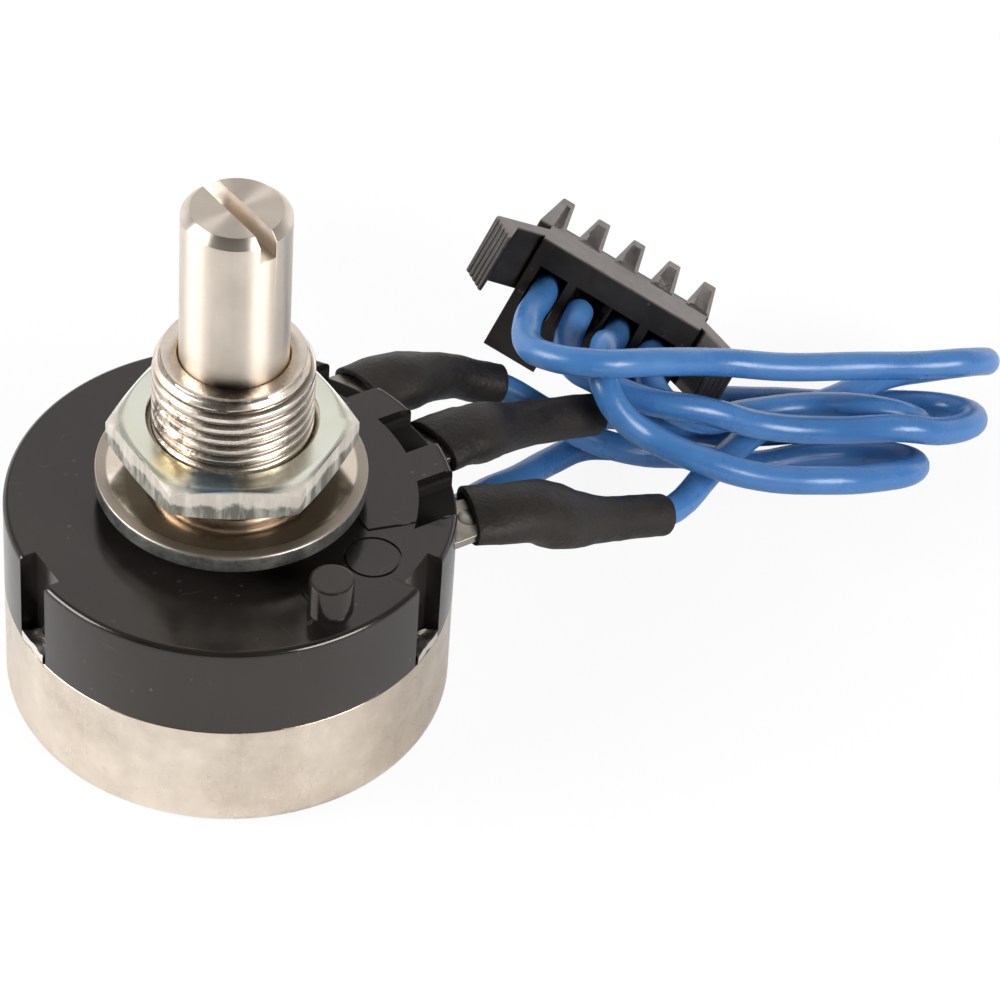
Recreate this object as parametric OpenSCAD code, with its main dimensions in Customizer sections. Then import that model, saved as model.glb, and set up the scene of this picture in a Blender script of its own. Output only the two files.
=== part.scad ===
// Rotary potentiometer with a threaded bushing, a crimped metal cup and a four-wire lead.
// Z is the shaft axis. Z = 0 is the flat underside of the cup.

/* [Shaft] */
// Diameter of the control shaft
shaft_d = 6; // [5:0.05:6.35]
// Shaft length from the mounting face to its end
shaft_reach = 19.3; // [14:0.1:30]
// Chamfer on the end of the shaft
shaft_chamfer = 0.5; // [0.2:0.05:0.8]
// Width of the screwdriver slot
slot_w = 1; // [0.8:0.05:1.4]
// Depth of the screwdriver slot
slot_depth = 1.5; // [1:0.1:2.5]
// Direction of the screwdriver slot seen from above, in degrees
slot_turn = -53; // [-90:1:90]
// Running clearance between shaft and bushing, on the radius
running_fit = 0.03; // [0.02:0.01:0.08]

/* [Bushing and fasteners] */
// Outer diameter of the bushing thread
thread_d = 8.9; // [8:0.05:9.5]
// Bushing length above the mounting face
bushing_reach = 8.4; // [7:0.1:12]
// Chamfer on the end of the bushing
bushing_chamfer = 0.5; // [0.2:0.05:0.6]
// Clearance of the nut and washer on the thread, on the radius
thread_fit = 0.03; // [0.02:0.01:0.1]
// Width across the flats of the nut
nut_flats = 12; // [11:0.1:14]
// Thickness of the nut
nut_t = 2.25; // [1.5:0.05:3]
// Gap left between the washer and the nut
nut_gap = 1.35; // [0:0.05:2.5]
// Angle of one corner of the nut, in degrees
nut_turn = 4; // [0:1:59]
// Width of the washer's ring, from its hole to its rim
washer_w = 3.07; // [2:0.01:3.5]
// Thickness of the washer
washer_t = 1.1; // [0.5:0.05:1.5]

/* [Body] */
// Diameter of the cup and of the moulded housing
body_d = 25.2; // [25:0.1:28]
// Height of the metal cup
cup_h = 7.35; // [6.5:0.05:8]
// Height of the flat top of the moulded housing
body_h = 13.3; // [13:0.1:15]
// Height of the neck that the washer rests on, above the housing's top
neck_h = 1.2; // [0.8:0.1:2]
// Diameter of that neck
neck_d = 11.8; // [11:0.1:13]
// Thickness of the cup's sheet metal
sheet_t = 0.4; // [0.3:0.05:0.6]
// Bend radius along the bottom of the cup
cup_bend = 0.9; // [0.7:0.05:1.2]
// Thickness of the housing's roof
roof_t = 2.7; // [2.5:0.05:3]
// Wall thickness of the housing's skirt
skirt_t = 1.3; // [1.2:0.05:1.6]
// Clearance between pieces that are pressed or moulded together, on the radius
seat_fit = 0.02; // [0.01:0.01:0.05]

/* [Stake notches] */
// Number of notches where the cup is staked
notches = 3; // [2:1:4]
// Width of a stake notch
notch_w = 2.7; // [2:0.1:3.5]
// Radial depth of a stake notch
notch_depth = 1; // [0.8:0.05:1]
// Angle of the first notch, in degrees
notch_turn = 93.5; // [92:0.5:95]

/* [Locating boss] */
// Diameter of the locating boss
boss_d = 2.5; // [2:0.1:3]
// Height of the boss above the housing's top
boss_h = 2.2; // [1.5:0.1:3]
// Distance of the boss from the shaft axis
boss_radius = 10.4; // [10.2:0.05:10.8]
// Direction of the boss, in degrees
boss_turn = -56; // [-60:0.5:-50]
// Diameter of the round mark that the mould left beside the boss
mark_d = 2.7; // [2:0.1:3.5]
// Direction of that mark, in degrees
mark_turn = -28.7; // [-32:0.1:-27]

/* [Terminals] */
// Direction that the terminals point in, in degrees
terminal_turn = 31.5; // [30:0.5:33]
// Distance between neighbouring terminals
terminal_pitch = 6.2; // [6:0.05:6.4]
// Width of a terminal tab
tab_w = 3; // [2.5:0.1:3.2]
// Thickness of a terminal tab
tab_t = 0.5; // [0.4:0.05:0.6]
// How far a tab sticks out of the housing
tab_reach = 2.3; // [1.8:0.1:3]
// Width of the open slot above a tab
tab_slot_w = 3.7; // [3.6:0.1:4]
// Rise of the terminal deck above the housing's top
deck_rise = 0.25; // [0.1:0.05:0.5]

/* [Resistance element] */
// Travel of the shaft from end to end, in degrees
travel = 300; // [270:5:300]
// Height of the resistance card
card_h = 5.8; // [4:0.1:6]
// Thickness of the resistance card
card_t = 0.85; // [0.6:0.05:0.9]

/* [Lead] */
// Outer diameter of a wire
wire_d = 1.7; // [1.4:0.05:1.7]
// Wall thickness of the shrink sleeves
sleeve_wall = 0.4; // [0.3:0.05:0.45]

/* [Connector] */
// Distance between neighbouring wires in the connector
way_pitch = 2.5; // [2.5:0.01:2.54]
// Width of the connector housing
conn_w = 10.8; // [10.7:0.1:11.4]
// Height of the connector housing with its end feet
conn_h = 7.75; // [7.4:0.05:7.75]
// Height of the step between the end feet
foot_h = 1.1; // [0.5:0.1:1.3]
// Depth of the connector's body
conn_depth = 6.1; // [6:0.1:6.5]
// Depth to the tips of the comb
comb_depth = 7.4; // [7:0.1:8]
// Width of a wire hole
way_w = 1.9; // [1.8:0.05:2]
// Height of a wire hole
way_h = 2.8; // [2.4:0.1:3]
// Height of a latch arm
latch_h = 3.9; // [3:0.1:4.5]
// Number of grip ridges on a latch arm
latch_ridges = 5; // [3:1:7]

/* [Hidden] */

// Radii that several pieces share
shaft_r = shaft_d / 2;
thread_r = thread_d / 2;
body_r = body_d / 2;
cup_in_r = body_r - sheet_t;
skirt_r = cup_in_r - seat_fit;
cavity_r = skirt_r - skirt_t;
edge_r = 0.35;
washer_r = thread_r + thread_fit + washer_w;

// Heights, from the underside of the cup up
mount_z = body_h + neck_h;
shaft_top = mount_z + shaft_reach;
washer_top = mount_z + washer_t;
nut_z = washer_top + nut_gap;
bushing_top = mount_z + bushing_reach;
roof_z = body_h - roof_t;
skirt_z = 2.2;

// Collar that holds the bushing in the moulding
collar_r = thread_r + 0.8;
collar_z = roof_z + 0.7;
collar_t = 1.2;
bushing_foot = roof_z - 1;

// Shallow relief round the shaft where it leaves the bushing
relief_depth = 0.2;
relief_h = 0.4;
relief_over = 0.1;

// Stack on the shaft under the bushing, from the top down
play = 0.05;
thrust_t = 0.3;
ring_t = 0.6;
hub_h = 3.2;
disc_t = 1.6;
head_t = 0.6;
thrust_z = bushing_foot - thrust_t;
ring_z = thrust_z - play - ring_t;
hub_z = ring_z - 0.2 - hub_h;
disc_top = hub_z + disc_t;
shaft_foot = hub_z - head_t;
groove_r = shaft_r - 0.6;
tail_r = shaft_r - 0.5;
tail_flat = tail_r - 0.5;
head_r = tail_r + 0.3;
ring_out_r = shaft_r + 1.3;

// Resistance card, collector and stop inside the housing
card_out_r = cavity_r - seat_fit;
card_in_r = card_out_r - card_t;
card_z = roof_z - 0.7 - card_h;
card_gap = 52;
collector_t = 0.3;
collector_in_r = 5.6;
collector_out_r = 7.4;
lug_in_r = 7.9;
lug_out_r = card_in_r - 0.8;
lug_h = 1.8;
lug_half = 9;
post_half = (360 - travel) / 2 - lug_half - 1;
post_turn = terminal_turn + 180;
post_h = 3;
rotor_r = lug_out_r + 0.1;
hub_r = collector_in_r - 1;
wiper_t = 0.2;
wiper_w = 1.6;
brush_gap = 0.08;

// Terminals: the tab lies in a slot of the roof and its leg goes down inside
tab_z = roof_z + 0.55;
leg_w = 0.9;
leg_r = card_in_r + 0.3;
leg_u = sqrt(pow(leg_r, 2) - pow(terminal_pitch, 2)) - tab_t / 2;
slot_r = 10.4;
bridge_t = 0.4;
tab_hole_d = 1.2;
solder_r = 0.95;
ground_r = 1.5;

// Round mark on the housing's top
mark_r = 9.4;
mark_w = 0.2;
mark_depth = 0.12;

// Cup stakes folded into the notches
stake_h = 0.4;
stake_gap = 0.2;

// The lead was laid out for this body radius and moves with the wall along the terminals
lead_body_r = 12.6;
lead_shift = (body_r - lead_body_r) * [cos(terminal_turn), sin(terminal_turn), 0];

// Wire that each terminal carries, and the wire that is soldered to the cup
WIRE_AT = [3, 4, 1];
ground_wire = 2;

// Three sleeves as rows of x, y, z, width and height, from the tab outwards
SLEEVES = [
    [[6.9, 11.2, 11.4, 4.4, 2.3], [7.8, 12.1, 11.2, 4.2, 2.7], [9.1, 13.0, 10.8, 4.0, 3.2],
        [10.3, 14.2, 10.1, 3.4, 3.0], [12.1, 15.7, 9.0, 2.7, 2.7], [13.6, 16.4, 8.1, 2.6, 2.6],
        [14.9, 16.9, 7.4, 2.6, 2.6]],
    [[11.1, 6.8, 11.4, 4.4, 2.3], [12.2, 7.8, 11.2, 4.2, 2.7], [13.4, 8.8, 10.7, 4.0, 3.2],
        [14.2, 10.0, 10.0, 3.8, 3.3], [15.6, 11.4, 9.1, 3.0, 2.9], [18.0, 13.6, 7.8, 2.7, 2.7],
        [20.7, 15.7, 6.5, 2.6, 2.6]],
    [[13.2, 1.2, 11.4, 4.4, 2.3], [15.0, 1.8, 11.1, 4.2, 2.8], [16.8, 3.0, 10.3, 4.2, 3.4],
        [18.1, 3.9, 9.2, 4.2, 3.8], [19.4, 4.8, 8.2, 3.5, 3.3], [20.9, 5.9, 7.2, 2.8, 2.8],
        [22.8, 7.4, 6.1, 2.6, 2.6], [24.7, 8.8, 5.1, 2.6, 2.6]]
];
sleeve_sides = 16;
sleeve_steps = 3;

// Routes of the wires from the connector outwards, by connector hole
WIRES = [
    [[17.9, 24.8, 8.7], [17.3, 22.1, 9.8], [16.5, 18.7, 10.8], [16.6, 16.4, 11.1], [17.9, 14.6, 11.8],
        [20.5, 13.8, 12.2], [24, 15.3, 11.2], [28, 17.6, 9.4], [32, 18.5, 8.5], [36.5, 19.5, 8],
        [40.5, 21, 7], [43, 21.9, 6.6], [44.7, 23.8, 5.1], [44.1, 25.6, 3.4], [41.9, 26.1, 2.4],
        [38.9, 24.8, 2.7], [35.5, 21.7, 3.3], [32, 20, 3], [28.5, 15.6, 3.4], [24.7, 8.8, 5.1],
        [22.8, 7.4, 6.1], [20.9, 5.9, 7.2], [19.4, 4.8, 8.2], [17.2, 3.3, 9.9]],
    [[20.1, 24, 7.9], [19.5, 21.3, 9], [19, 19.3, 8.7], [19.4, 17.6, 8.6], [20.6, 16.3, 8.8],
        [23.5, 15.1, 8.4], [27, 15.1, 7.8], [31.1, 16.3, 5.7], [35, 16.9, 5.1], [38.9, 16.9, 5.5],
        [42, 18.3, 4.2], [44.1, 21.2, 2.7], [42.9, 23.7, 1.3], [39.5, 24.3, 0.9], [35.5, 23.9, 1],
        [31.5, 24, 0.9], [27.5, 23.2, 1], [25.6, 20.4, 0.9], [23, 19.3, 0.9], [20.5, 18.8, 1.1],
        [18.5, 17.1, 1.4], [16.5, 14, 2.7], [14, 10.5, 4.3], [11.5, 7.5, 4.5]],
    [[22.3, 23.1, 7], [21.7, 20.4, 8.2], [21, 16.7, 10.6], [21.1, 14.3, 10.1], [22.2, 13.1, 8.8],
        [24, 12.7, 7.6], [27, 11.6, 7], [30.5, 11.5, 6], [34.5, 12, 5.5], [37.5, 13.5, 4.5],
        [40, 15.8, 3.2], [40, 18.1, 1.9], [37.9, 19.5, 1], [34, 19.1, 0.9], [30.5, 18, 1],
        [27, 17.5, 2], [23.5, 16.4, 3.1], [20.5, 16.5, 4], [18, 16.9, 5.4], [14.9, 16.9, 7.4],
        [13.6, 16.4, 8.1], [12.1, 15.7, 9], [10.3, 14.2, 10.1]],
    [[24.5, 22.3, 6.2], [23.9, 19.6, 7.4], [24.1, 17.8, 7.3], [25.2, 16.5, 6.7], [27.1, 16.4, 5.9],
        [30.1, 18.1, 5.1], [33.9, 19.5, 4.6], [37.6, 18.7, 5.3], [40.1, 19.3, 4.1], [40.3, 21, 2.1],
        [38.1, 22.1, 0.9], [33.9, 21.2, 1.2], [30.5, 21, 0.9], [27, 19.7, 2.1], [23.7, 17.6, 4.7],
        [20.7, 15.7, 6.5], [18, 13.6, 7.8], [15.6, 11.4, 9.1], [14.2, 10, 10]]
];
wire_sides = 8;

// Connector: its place, its tilt and the first wire hole from its left end
conn_at = [17.4, 24.5, 12.6];
conn_tilt = [-24, 19, -21];
way_first = 1.6;
way_z = -3.1;
top_t = 0.9;
top_depth = 3.1;
foot_w = 3.5;
comb_first = 0.05;
comb_root_w = 1.24;
comb_tip_w = 0.66;
mouth_depth = 2.3;
contact_w = 1.6;
contact_h = 1.8;
contact_wall = 0.25;
contact_fit = 0.05;
contact_neck_d = 1.3;
window_w = 1.1;
window_d = 1.3;
window_y = top_depth + 0.4;

fine = 96;
middle = 48;

// Helpers

function span(a, b, n) = [for (i = [0 : n]) a + (b - a) * i / n];

function unit(v) = v / norm(v);

// Points of a quarter arc in a profile: centre, radius, first and last angle
function arc(cx, cy, r, a0, a1, n) = [for (a = span(a0, a1, n)) [cx + r * cos(a), cy + r * sin(a)]];

// Rows moved with the wall of the body, the numbers after x, y and z kept
function placed(rows) = [for (r = rows) [for (i = [0 : len(r) - 1]) i < 3 ? r[i] + lead_shift[i] : r[i]]];

// A smooth curve through rows of numbers, with a number of steps between two rows
function curve(rows, steps) =
    let (
        last = len(rows) - 1,
        row = function (i) i < 0 ? 2 * rows[0] - rows[1]
            : i > last ? 2 * rows[last] - rows[last - 1]
            : rows[i]
    )
    concat(
        [for (i = [0 : last - 1]) for (s = [0 : steps - 1])
            let (t = s / steps, a = row(i - 1), b = row(i), c = row(i + 1), d = row(i + 2))
            (2 * b + (c - a) * t + (2 * a - 5 * b + 4 * c - d) * t * t
                + (3 * b - a - 3 * c + d) * t * t * t) / 2],
        [rows[last]]
    );

// One ring of points per row of x, y, z, width and height, across the line of the rows
function rings(rows, sides) =
    let (last = len(rows) - 1, place = function (i) [rows[i][0], rows[i][1], rows[i][2]])
    [for (i = [0 : last])
        let (
            along = unit(place(min(i + 1, last)) - place(max(i - 1, 0))),
            side = unit(cross(along, [0, 0, 1])),
            up = cross(side, along)
        )
        for (j = [0 : sides - 1])
            let (a = 360 * j / sides)
            place(i) + side * cos(a) * rows[i][3] / 2 + up * sin(a) * rows[i][4] / 2];

// Triangles between neighbouring rings, from a first point on
function walls(first, count, sides) =
    [for (i = [0 : count - 2]) for (j = [0 : sides - 1])
        let (k = (j + 1) % sides, a = first + i * sides + j, b = first + i * sides + k)
        each [[b + sides, b, a], [b + sides, a, a + sides]]];

function turned(face) = [for (k = [len(face) - 1 : -1 : 0]) face[k]];

// A closed bar swept along rows
module bar(rows, sides) {
    last = (len(rows) - 1) * sides;
    polyhedron(
        points = rings(rows, sides),
        faces = concat(
            walls(0, len(rows), sides),
            [[for (j = [0 : sides - 1]) j], [for (j = [sides - 1 : -1 : 0]) last + j]]
        )
    );
}

// An open tube swept along rows, with a wall of even thickness
module tube(rows, wall, sides) {
    count = len(rows) * sides;
    last = count - sides;
    inner = [for (r = rows) r - [0, 0, 0, 2 * wall, 2 * wall]];
    rim = [for (j = [0 : sides - 1])
        let (k = (j + 1) % sides)
        each [[j, k, count + k], [j, count + k, count + j]]];
    polyhedron(
        points = concat(rings(rows, sides), rings(inner, sides)),
        faces = concat(
            walls(0, len(rows), sides),
            [for (f = walls(count, len(rows), sides)) turned(f)],
            rim,
            [for (f = rim) turned([for (n = f) n + last])]
        )
    );
}

// A ring, from its inner and outer radius
module ring(r0, r1, h) {
    difference() {
        cylinder(h = h, r = r1, $fn = fine);
        translate([0, 0, -h]) cylinder(h = 3 * h, r = r0, $fn = fine);
    }
}

// A part of a ring between two directions
module ring_part(r0, r1, h, from, to) {
    rotate([0, 0, from])
        rotate_extrude(angle = to - from, $fn = fine)
            translate([r0, 0]) square([r1 - r0, h]);
}

// Places something in the frame of one terminal: x points outwards along the tab
module at_terminal(k) {
    rotate([0, 0, terminal_turn]) translate([0, (2 - k) * terminal_pitch, 0]) children();
}

// Places something in the frame of the connector: x along the row, y inwards, z up its height
module at_connector() {
    translate(conn_at + lead_shift) rotate(conn_tilt) children();
}

// Pieces that turn

module shaft() {
    color("silver")
    difference() {
        rotate_extrude($fn = fine)
            polygon([
                [0, shaft_foot], [head_r, shaft_foot], [head_r, hub_z],
                [tail_r, hub_z], [tail_r, hub_z + hub_h], [shaft_r, hub_z + hub_h],
                [shaft_r, ring_z], [groove_r, ring_z], [groove_r, ring_z + ring_t],
                [shaft_r, ring_z + ring_t], [shaft_r, bushing_top - relief_h],
                [shaft_r - relief_depth, bushing_top - relief_h],
                [shaft_r - relief_depth, bushing_top + relief_over],
                [shaft_r, bushing_top + relief_over], [shaft_r, shaft_top - shaft_chamfer],
                [shaft_r - shaft_chamfer, shaft_top], [0, shaft_top]
            ]);
        translate([0, 0, shaft_top]) rotate([0, 0, slot_turn])
            cube([shaft_d + 1, slot_w, 2 * slot_depth], center = true);
        translate([tail_flat, -shaft_r, hub_z])
            cube([shaft_r, shaft_d, hub_h]);
    }
}

module rotor() {
    color("ivory") {
        difference() {
            union() {
                translate([0, 0, hub_z]) cylinder(h = disc_t, r = rotor_r, $fn = fine);
                translate([0, 0, hub_z]) cylinder(h = hub_h, r = hub_r, $fn = fine);
                translate([0, 0, disc_top - 0.1])
                    ring_part(lug_in_r, lug_out_r, lug_h + 0.1,
                        terminal_turn - lug_half, terminal_turn + lug_half);
            }
            difference() {
                translate([0, 0, hub_z - 1]) cylinder(h = hub_h + 2, r = tail_r + seat_fit, $fn = fine);
                translate([tail_flat + seat_fit, -shaft_r, hub_z - 1])
                    cube([shaft_r, shaft_d, hub_h + 2]);
            }
        }
    }
}

// A bent spring strip: one arm reaches the card, the other the collector
module wiper() {
    brush_r = card_in_r - brush_gap;
    arm_r = brush_r - wiper_t;
    brush_z = card_z + card_h * 0.7;
    brush_h = 0.5;
    brush_bend = 0.1;
    leaf_w = 0.3;
    leaf_r = collector_in_r + 1;
    leaf_z = roof_z - collector_t - brush_gap;
    base_z = disc_top + wiper_t;
    color("goldenrod") {
        rotate([0, 0, post_turn]) rotate([90, 0, 0])
            linear_extrude(wiper_w, center = true)
                polygon([
                    [collector_in_r, disc_top], [arm_r, disc_top], [arm_r, brush_z],
                    [brush_r, brush_z + brush_bend], [brush_r, brush_z + brush_h - brush_bend],
                    [arm_r, brush_z + brush_h], [arm_r - wiper_t, brush_z + brush_h],
                    [arm_r - wiper_t, base_z], [collector_out_r, base_z],
                    [leaf_r, leaf_z], [leaf_r - leaf_w, leaf_z],
                    [collector_out_r - leaf_w, base_z], [collector_in_r, base_z]
                ]);
        translate([0, 0, disc_top]) ring(hub_r + 0.1, collector_in_r + 0.3, wiper_t);
    }
}

module retaining_ring() {
    mouth_w = groove_r * 1.6;
    color("dimgray")
    difference() {
        translate([0, 0, ring_z]) ring(groove_r + seat_fit, ring_out_r, ring_t - play);
        translate([0, -mouth_w / 2, ring_z - 1]) cube([ring_out_r + 1, mouth_w, ring_t + 2]);
    }
}

// Pieces that stand still

module thrust_washer() {
    color("gainsboro")
        translate([0, 0, thrust_z]) ring(shaft_r + running_fit, thread_r - 0.1, thrust_t);
}

module bushing() {
    bore_r = shaft_r + running_fit;
    bore_edge = 0.15;
    color("silver")
    rotate_extrude($fn = fine)
        polygon([
            [bore_r, bushing_foot], [thread_r, bushing_foot], [thread_r, collar_z],
            [collar_r, collar_z], [collar_r, collar_z + collar_t], [thread_r, collar_z + collar_t],
            [thread_r, bushing_top - bushing_chamfer], [thread_r - bushing_chamfer, bushing_top],
            [bore_r + bore_edge, bushing_top], [bore_r, bushing_top - bore_edge]
        ]);
}

module washer() {
    round_edge = 0.3;
    lower_edge = 0.15;
    color("tan")
    rotate_extrude($fn = fine)
        polygon(concat(
            [[thread_r + thread_fit, mount_z], [washer_r - lower_edge, mount_z],
                [washer_r, mount_z + lower_edge]],
            arc(washer_r - round_edge, washer_top - round_edge, round_edge, 0, 90, 4),
            [[thread_r + thread_fit, washer_top]]
        ));
}

// The corners are cut by a shallow cone from both faces
module hex_nut() {
    corner_r = nut_flats / sqrt(3);
    flat_r = nut_flats / 2 - 0.05;
    cone = 23;
    drop = (corner_r - flat_r) * tan(cone);
    color("lightgray")
    translate([0, 0, nut_z]) rotate([0, 0, nut_turn])
    difference() {
        intersection() {
            cylinder(h = nut_t, r = corner_r, $fn = 6);
            rotate_extrude($fn = fine)
                polygon([[0, 0], [flat_r, 0], [corner_r, drop], [corner_r, nut_t - drop],
                    [flat_r, nut_t], [0, nut_t]]);
        }
        translate([0, 0, -1]) cylinder(h = nut_t + 2, r = thread_r + thread_fit, $fn = fine);
    }
}

module housing_shell() {
    bore = thread_r + seat_fit;
    neck_edge = 0.2;
    rotate_extrude($fn = fine)
        polygon(concat(
            [[bore, roof_z], [cavity_r, roof_z], [cavity_r, skirt_z], [skirt_r, skirt_z],
                [skirt_r, cup_h], [body_r, cup_h]],
            arc(body_r - edge_r, body_h - edge_r, edge_r, 0, 90, 5),
            [[neck_d / 2 + neck_edge, body_h], [neck_d / 2, body_h + neck_edge], [neck_d / 2, mount_z],
                [bore, mount_z], [bore, collar_z + collar_t + seat_fit],
                [collar_r + seat_fit, collar_z + collar_t + seat_fit],
                [collar_r + seat_fit, collar_z - seat_fit], [bore, collar_z - seat_fit]]
        ));
}

module locating_boss() {
    root = 0.5;
    bevel = 0.2;
    tall = root + boss_h;
    rotate([0, 0, boss_turn]) translate([boss_radius, 0, body_h - root])
        rotate_extrude($fn = middle)
            polygon([[0, 0], [boss_d / 2, 0], [boss_d / 2, tall - bevel],
                [boss_d / 2 - bevel, tall], [0, tall]]);
}

// Raised deck round the three terminal slots, its sides splayed outwards
module terminal_deck() {
    root = 0.5;
    inner = 5.3;
    near = 6;
    far = 8;
    deck_r = body_r - edge_r - 0.1;
    intersection() {
        rotate([0, 0, terminal_turn]) translate([0, 0, body_h - root])
            linear_extrude(deck_rise + root)
                polygon([[inner, -near], [body_r, -far], [body_r, far], [inner, near]]);
        cylinder(h = body_h + deck_rise, r = deck_r, $fn = fine);
    }
}

// Room for one terminal: a flat tunnel for the tab, a hole for its leg and a slot cut into the rim above
module terminal_room(k) {
    wide = tab_w + 2 * seat_fit;
    over = 0.2;
    at_terminal(k) {
        translate([leg_u - seat_fit, -wide / 2, tab_z])
            cube([body_r, wide, tab_t + seat_fit]);
        translate([leg_u - seat_fit, -leg_w / 2 - seat_fit, roof_z - 1])
            cube([tab_t + 2 * seat_fit, leg_w + 2 * seat_fit, tab_z - roof_z + 1 + over]);
    }
    difference() {
        at_terminal(k) translate([leg_u, -tab_slot_w / 2, tab_z + tab_t + bridge_t])
            cube([body_r, tab_slot_w, roof_t + deck_rise]);
        cylinder(h = mount_z + 1, r = slot_r, $fn = fine);
    }
}

module stake_notch() {
    translate([body_r - notch_depth, -notch_w / 2, cup_h + seat_fit])
        cube([notch_depth + 1, notch_w, body_h]);
}

module housing() {
    color("#1c1a19")
    difference() {
        union() {
            housing_shell();
            locating_boss();
            terminal_deck();
            translate([0, 0, roof_z - post_h])
                ring_part(lug_in_r, lug_out_r, post_h + 0.5,
                    post_turn - post_half, post_turn + post_half);
        }
        for (k = [1 : 3]) terminal_room(k);
        for (i = [0 : notches - 1])
            rotate([0, 0, notch_turn + i * 360 / notches]) stake_notch();
        mould_mark();
    }
}

// Shallow ring left by the mould on the housing's top
module mould_mark() {
    rotate([0, 0, mark_turn]) translate([mark_r, 0, body_h - mark_depth])
        ring(mark_d / 2 - mark_w, mark_d / 2, 1);
}

module rear_cover() {
    stake_w = notch_w - 2 * stake_gap;
    color("#b3a692") {
        rotate_extrude($fn = fine)
            polygon(concat(
                [[0, 0]],
                arc(body_r - cup_bend, cup_bend, cup_bend, -90, 0, 8),
                [[body_r, cup_h], [cup_in_r, cup_h]],
                arc(body_r - cup_bend, cup_bend, cup_bend - sheet_t, 0, -90, 6),
                [[0, sheet_t]]
            ));
        for (i = [0 : notches - 1])
            rotate([0, 0, notch_turn + i * 360 / notches])
                intersection() {
                    translate([0, 0, cup_h - sheet_t])
                        ring(body_r - notch_depth + 2 * seat_fit, body_r - seat_fit, 2);
                    union() {
                        translate([cup_in_r + sheet_t / 3, -stake_w / 2, cup_h - sheet_t])
                            cube([body_r, stake_w, sheet_t + stake_h]);
                        translate([cup_in_r - body_r / 2, -stake_w / 2, cup_h + seat_fit])
                            cube([body_r, stake_w, stake_h - seat_fit]);
                    }
                }
    }
}

module resistance_card() {
    color("peru")
        translate([0, 0, card_z])
            ring_part(card_in_r, card_out_r, card_h,
                terminal_turn + card_gap / 2 - 360, terminal_turn - card_gap / 2);
}

module collector_ring() {
    arm_w = 2.4;
    arm_in_r = collector_out_r - 0.2;
    arm_out_r = leg_u + tab_t + 0.6;
    color("gold") {
        translate([0, 0, roof_z - collector_t]) ring(collector_in_r, collector_out_r, collector_t);
        rotate([0, 0, terminal_turn])
            translate([arm_in_r, -arm_w / 2, roof_z - collector_t])
                cube([arm_out_r - arm_in_r, arm_w, collector_t]);
    }
}

// A bent strip: the tab outside, the leg inside down to the card or the collector
module terminal(k) {
    foot = k == 2 ? roof_z : card_z + card_h;
    end = tab_tip(k) - tab_w / 2;
    color("lightgray")
    at_terminal(k)
    difference() {
        union() {
            translate([leg_u, -tab_w / 2, tab_z]) cube([end - leg_u, tab_w, tab_t]);
            translate([end, 0, tab_z]) cylinder(h = tab_t, d = tab_w, $fn = middle);
            translate([leg_u, -leg_w / 2, foot]) cube([tab_t, leg_w, tab_z - foot + 0.1]);
        }
        translate([end, 0, tab_z - 1]) cylinder(h = tab_t + 2, d = tab_hole_d, $fn = middle);
    }
}

// Distance of a tab's tip from the shaft, along the tab
function tab_tip(k) = sqrt(pow(body_r, 2) - pow((2 - k) * terminal_pitch, 2)) + tab_reach;

// A point on the middle line of a tab, at a distance back from its tip
function on_tab(k, back) =
    let (u = tab_tip(k) - back, v = (2 - k) * terminal_pitch, c = cos(terminal_turn), s = sin(terminal_turn))
    [u * c - v * s, u * s + v * c, tab_z + tab_t / 2];

// Turns the Z axis into the line from one point to another
module from_to(a, b) {
    d = b - a;
    translate(a) rotate([0, acos(d[2] / norm(d)), atan2(d[1], d[0])]) children();
}

// Lead

// Solder that joins a tab to its wire inside the sleeve
module solder_joint(k) {
    route = placed(WIRES[WIRE_AT[k - 1] - 1]);
    from = on_tab(k, 0.6);
    to = route[len(route) - 1];
    long = norm(to - from);
    start = 0.5;
    tip_r = 0.35;
    flow_r = 0.75;
    color("gainsboro")
    difference() {
        from_to(from, to)
            rotate_extrude($fn = middle)
                polygon([[0, -start], [tip_r, -start], [flow_r, start / 2], [solder_r, long / 2],
                    [wire_d / 2, long], [0, long]]);
        at_terminal(k) translate([0, -tab_w / 2, tab_z]) cube([tab_tip(k), tab_w, tab_t]);
    }
}

// The fourth wire ends in a drop of solder on the wall of the cup
module ground_joint() {
    route = placed(WIRES[ground_wire - 1]);
    last = len(route) - 1;
    end = route[last];
    proud = 0.2;
    seat = unit([end[0], end[1], 0]) * (body_r + proud) + [0, 0, end[2]];
    color("gainsboro")
    difference() {
        translate(seat) sphere(r = ground_r, $fn = middle);
        cylinder(h = body_h, r = body_r, $fn = fine);
        from_to(end, route[last - 1]) cylinder(h = 2 * ground_r, d = wire_d, $fn = middle);
    }
}

module sleeve(k) {
    color("#2b2623")
        tube(curve(placed(SLEEVES[k - 1]), sleeve_steps), sleeve_wall, sleeve_sides);
}

module wire(k) {
    color("#3f6fb5")
        bar([for (p = placed(WIRES[k - 1])) concat(p, [wire_d, wire_d])], wire_sides);
}

// Side arm of the connector: it leaves the end wall and carries the grip ridges
module latch_arm() {
    root = [0, 0.68];
    knee = [-1.62, -0.82];
    tail = [-1.61, -2.97];
    heel = [-3.03, -0.83];
    root_far = [0, 1.85];
    inside = [0.3, 0];
    ridge = 0.18;
    crest = 0.6;
    valley = 0.75;
    step = (heel - tail) / latch_ridges;
    out = [step[1], -step[0]] / norm(step);
    translate([0, 0, -latch_h])
        linear_extrude(latch_h)
            polygon(concat(
                [root + inside, knee, tail],
                [for (i = [0 : latch_ridges - 1]) each [tail + step * i - out * ridge,
                    tail + step * (i + crest) - out * ridge, tail + step * (i + valley)]],
                [heel, root_far, root_far + inside]
            ));
}

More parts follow.
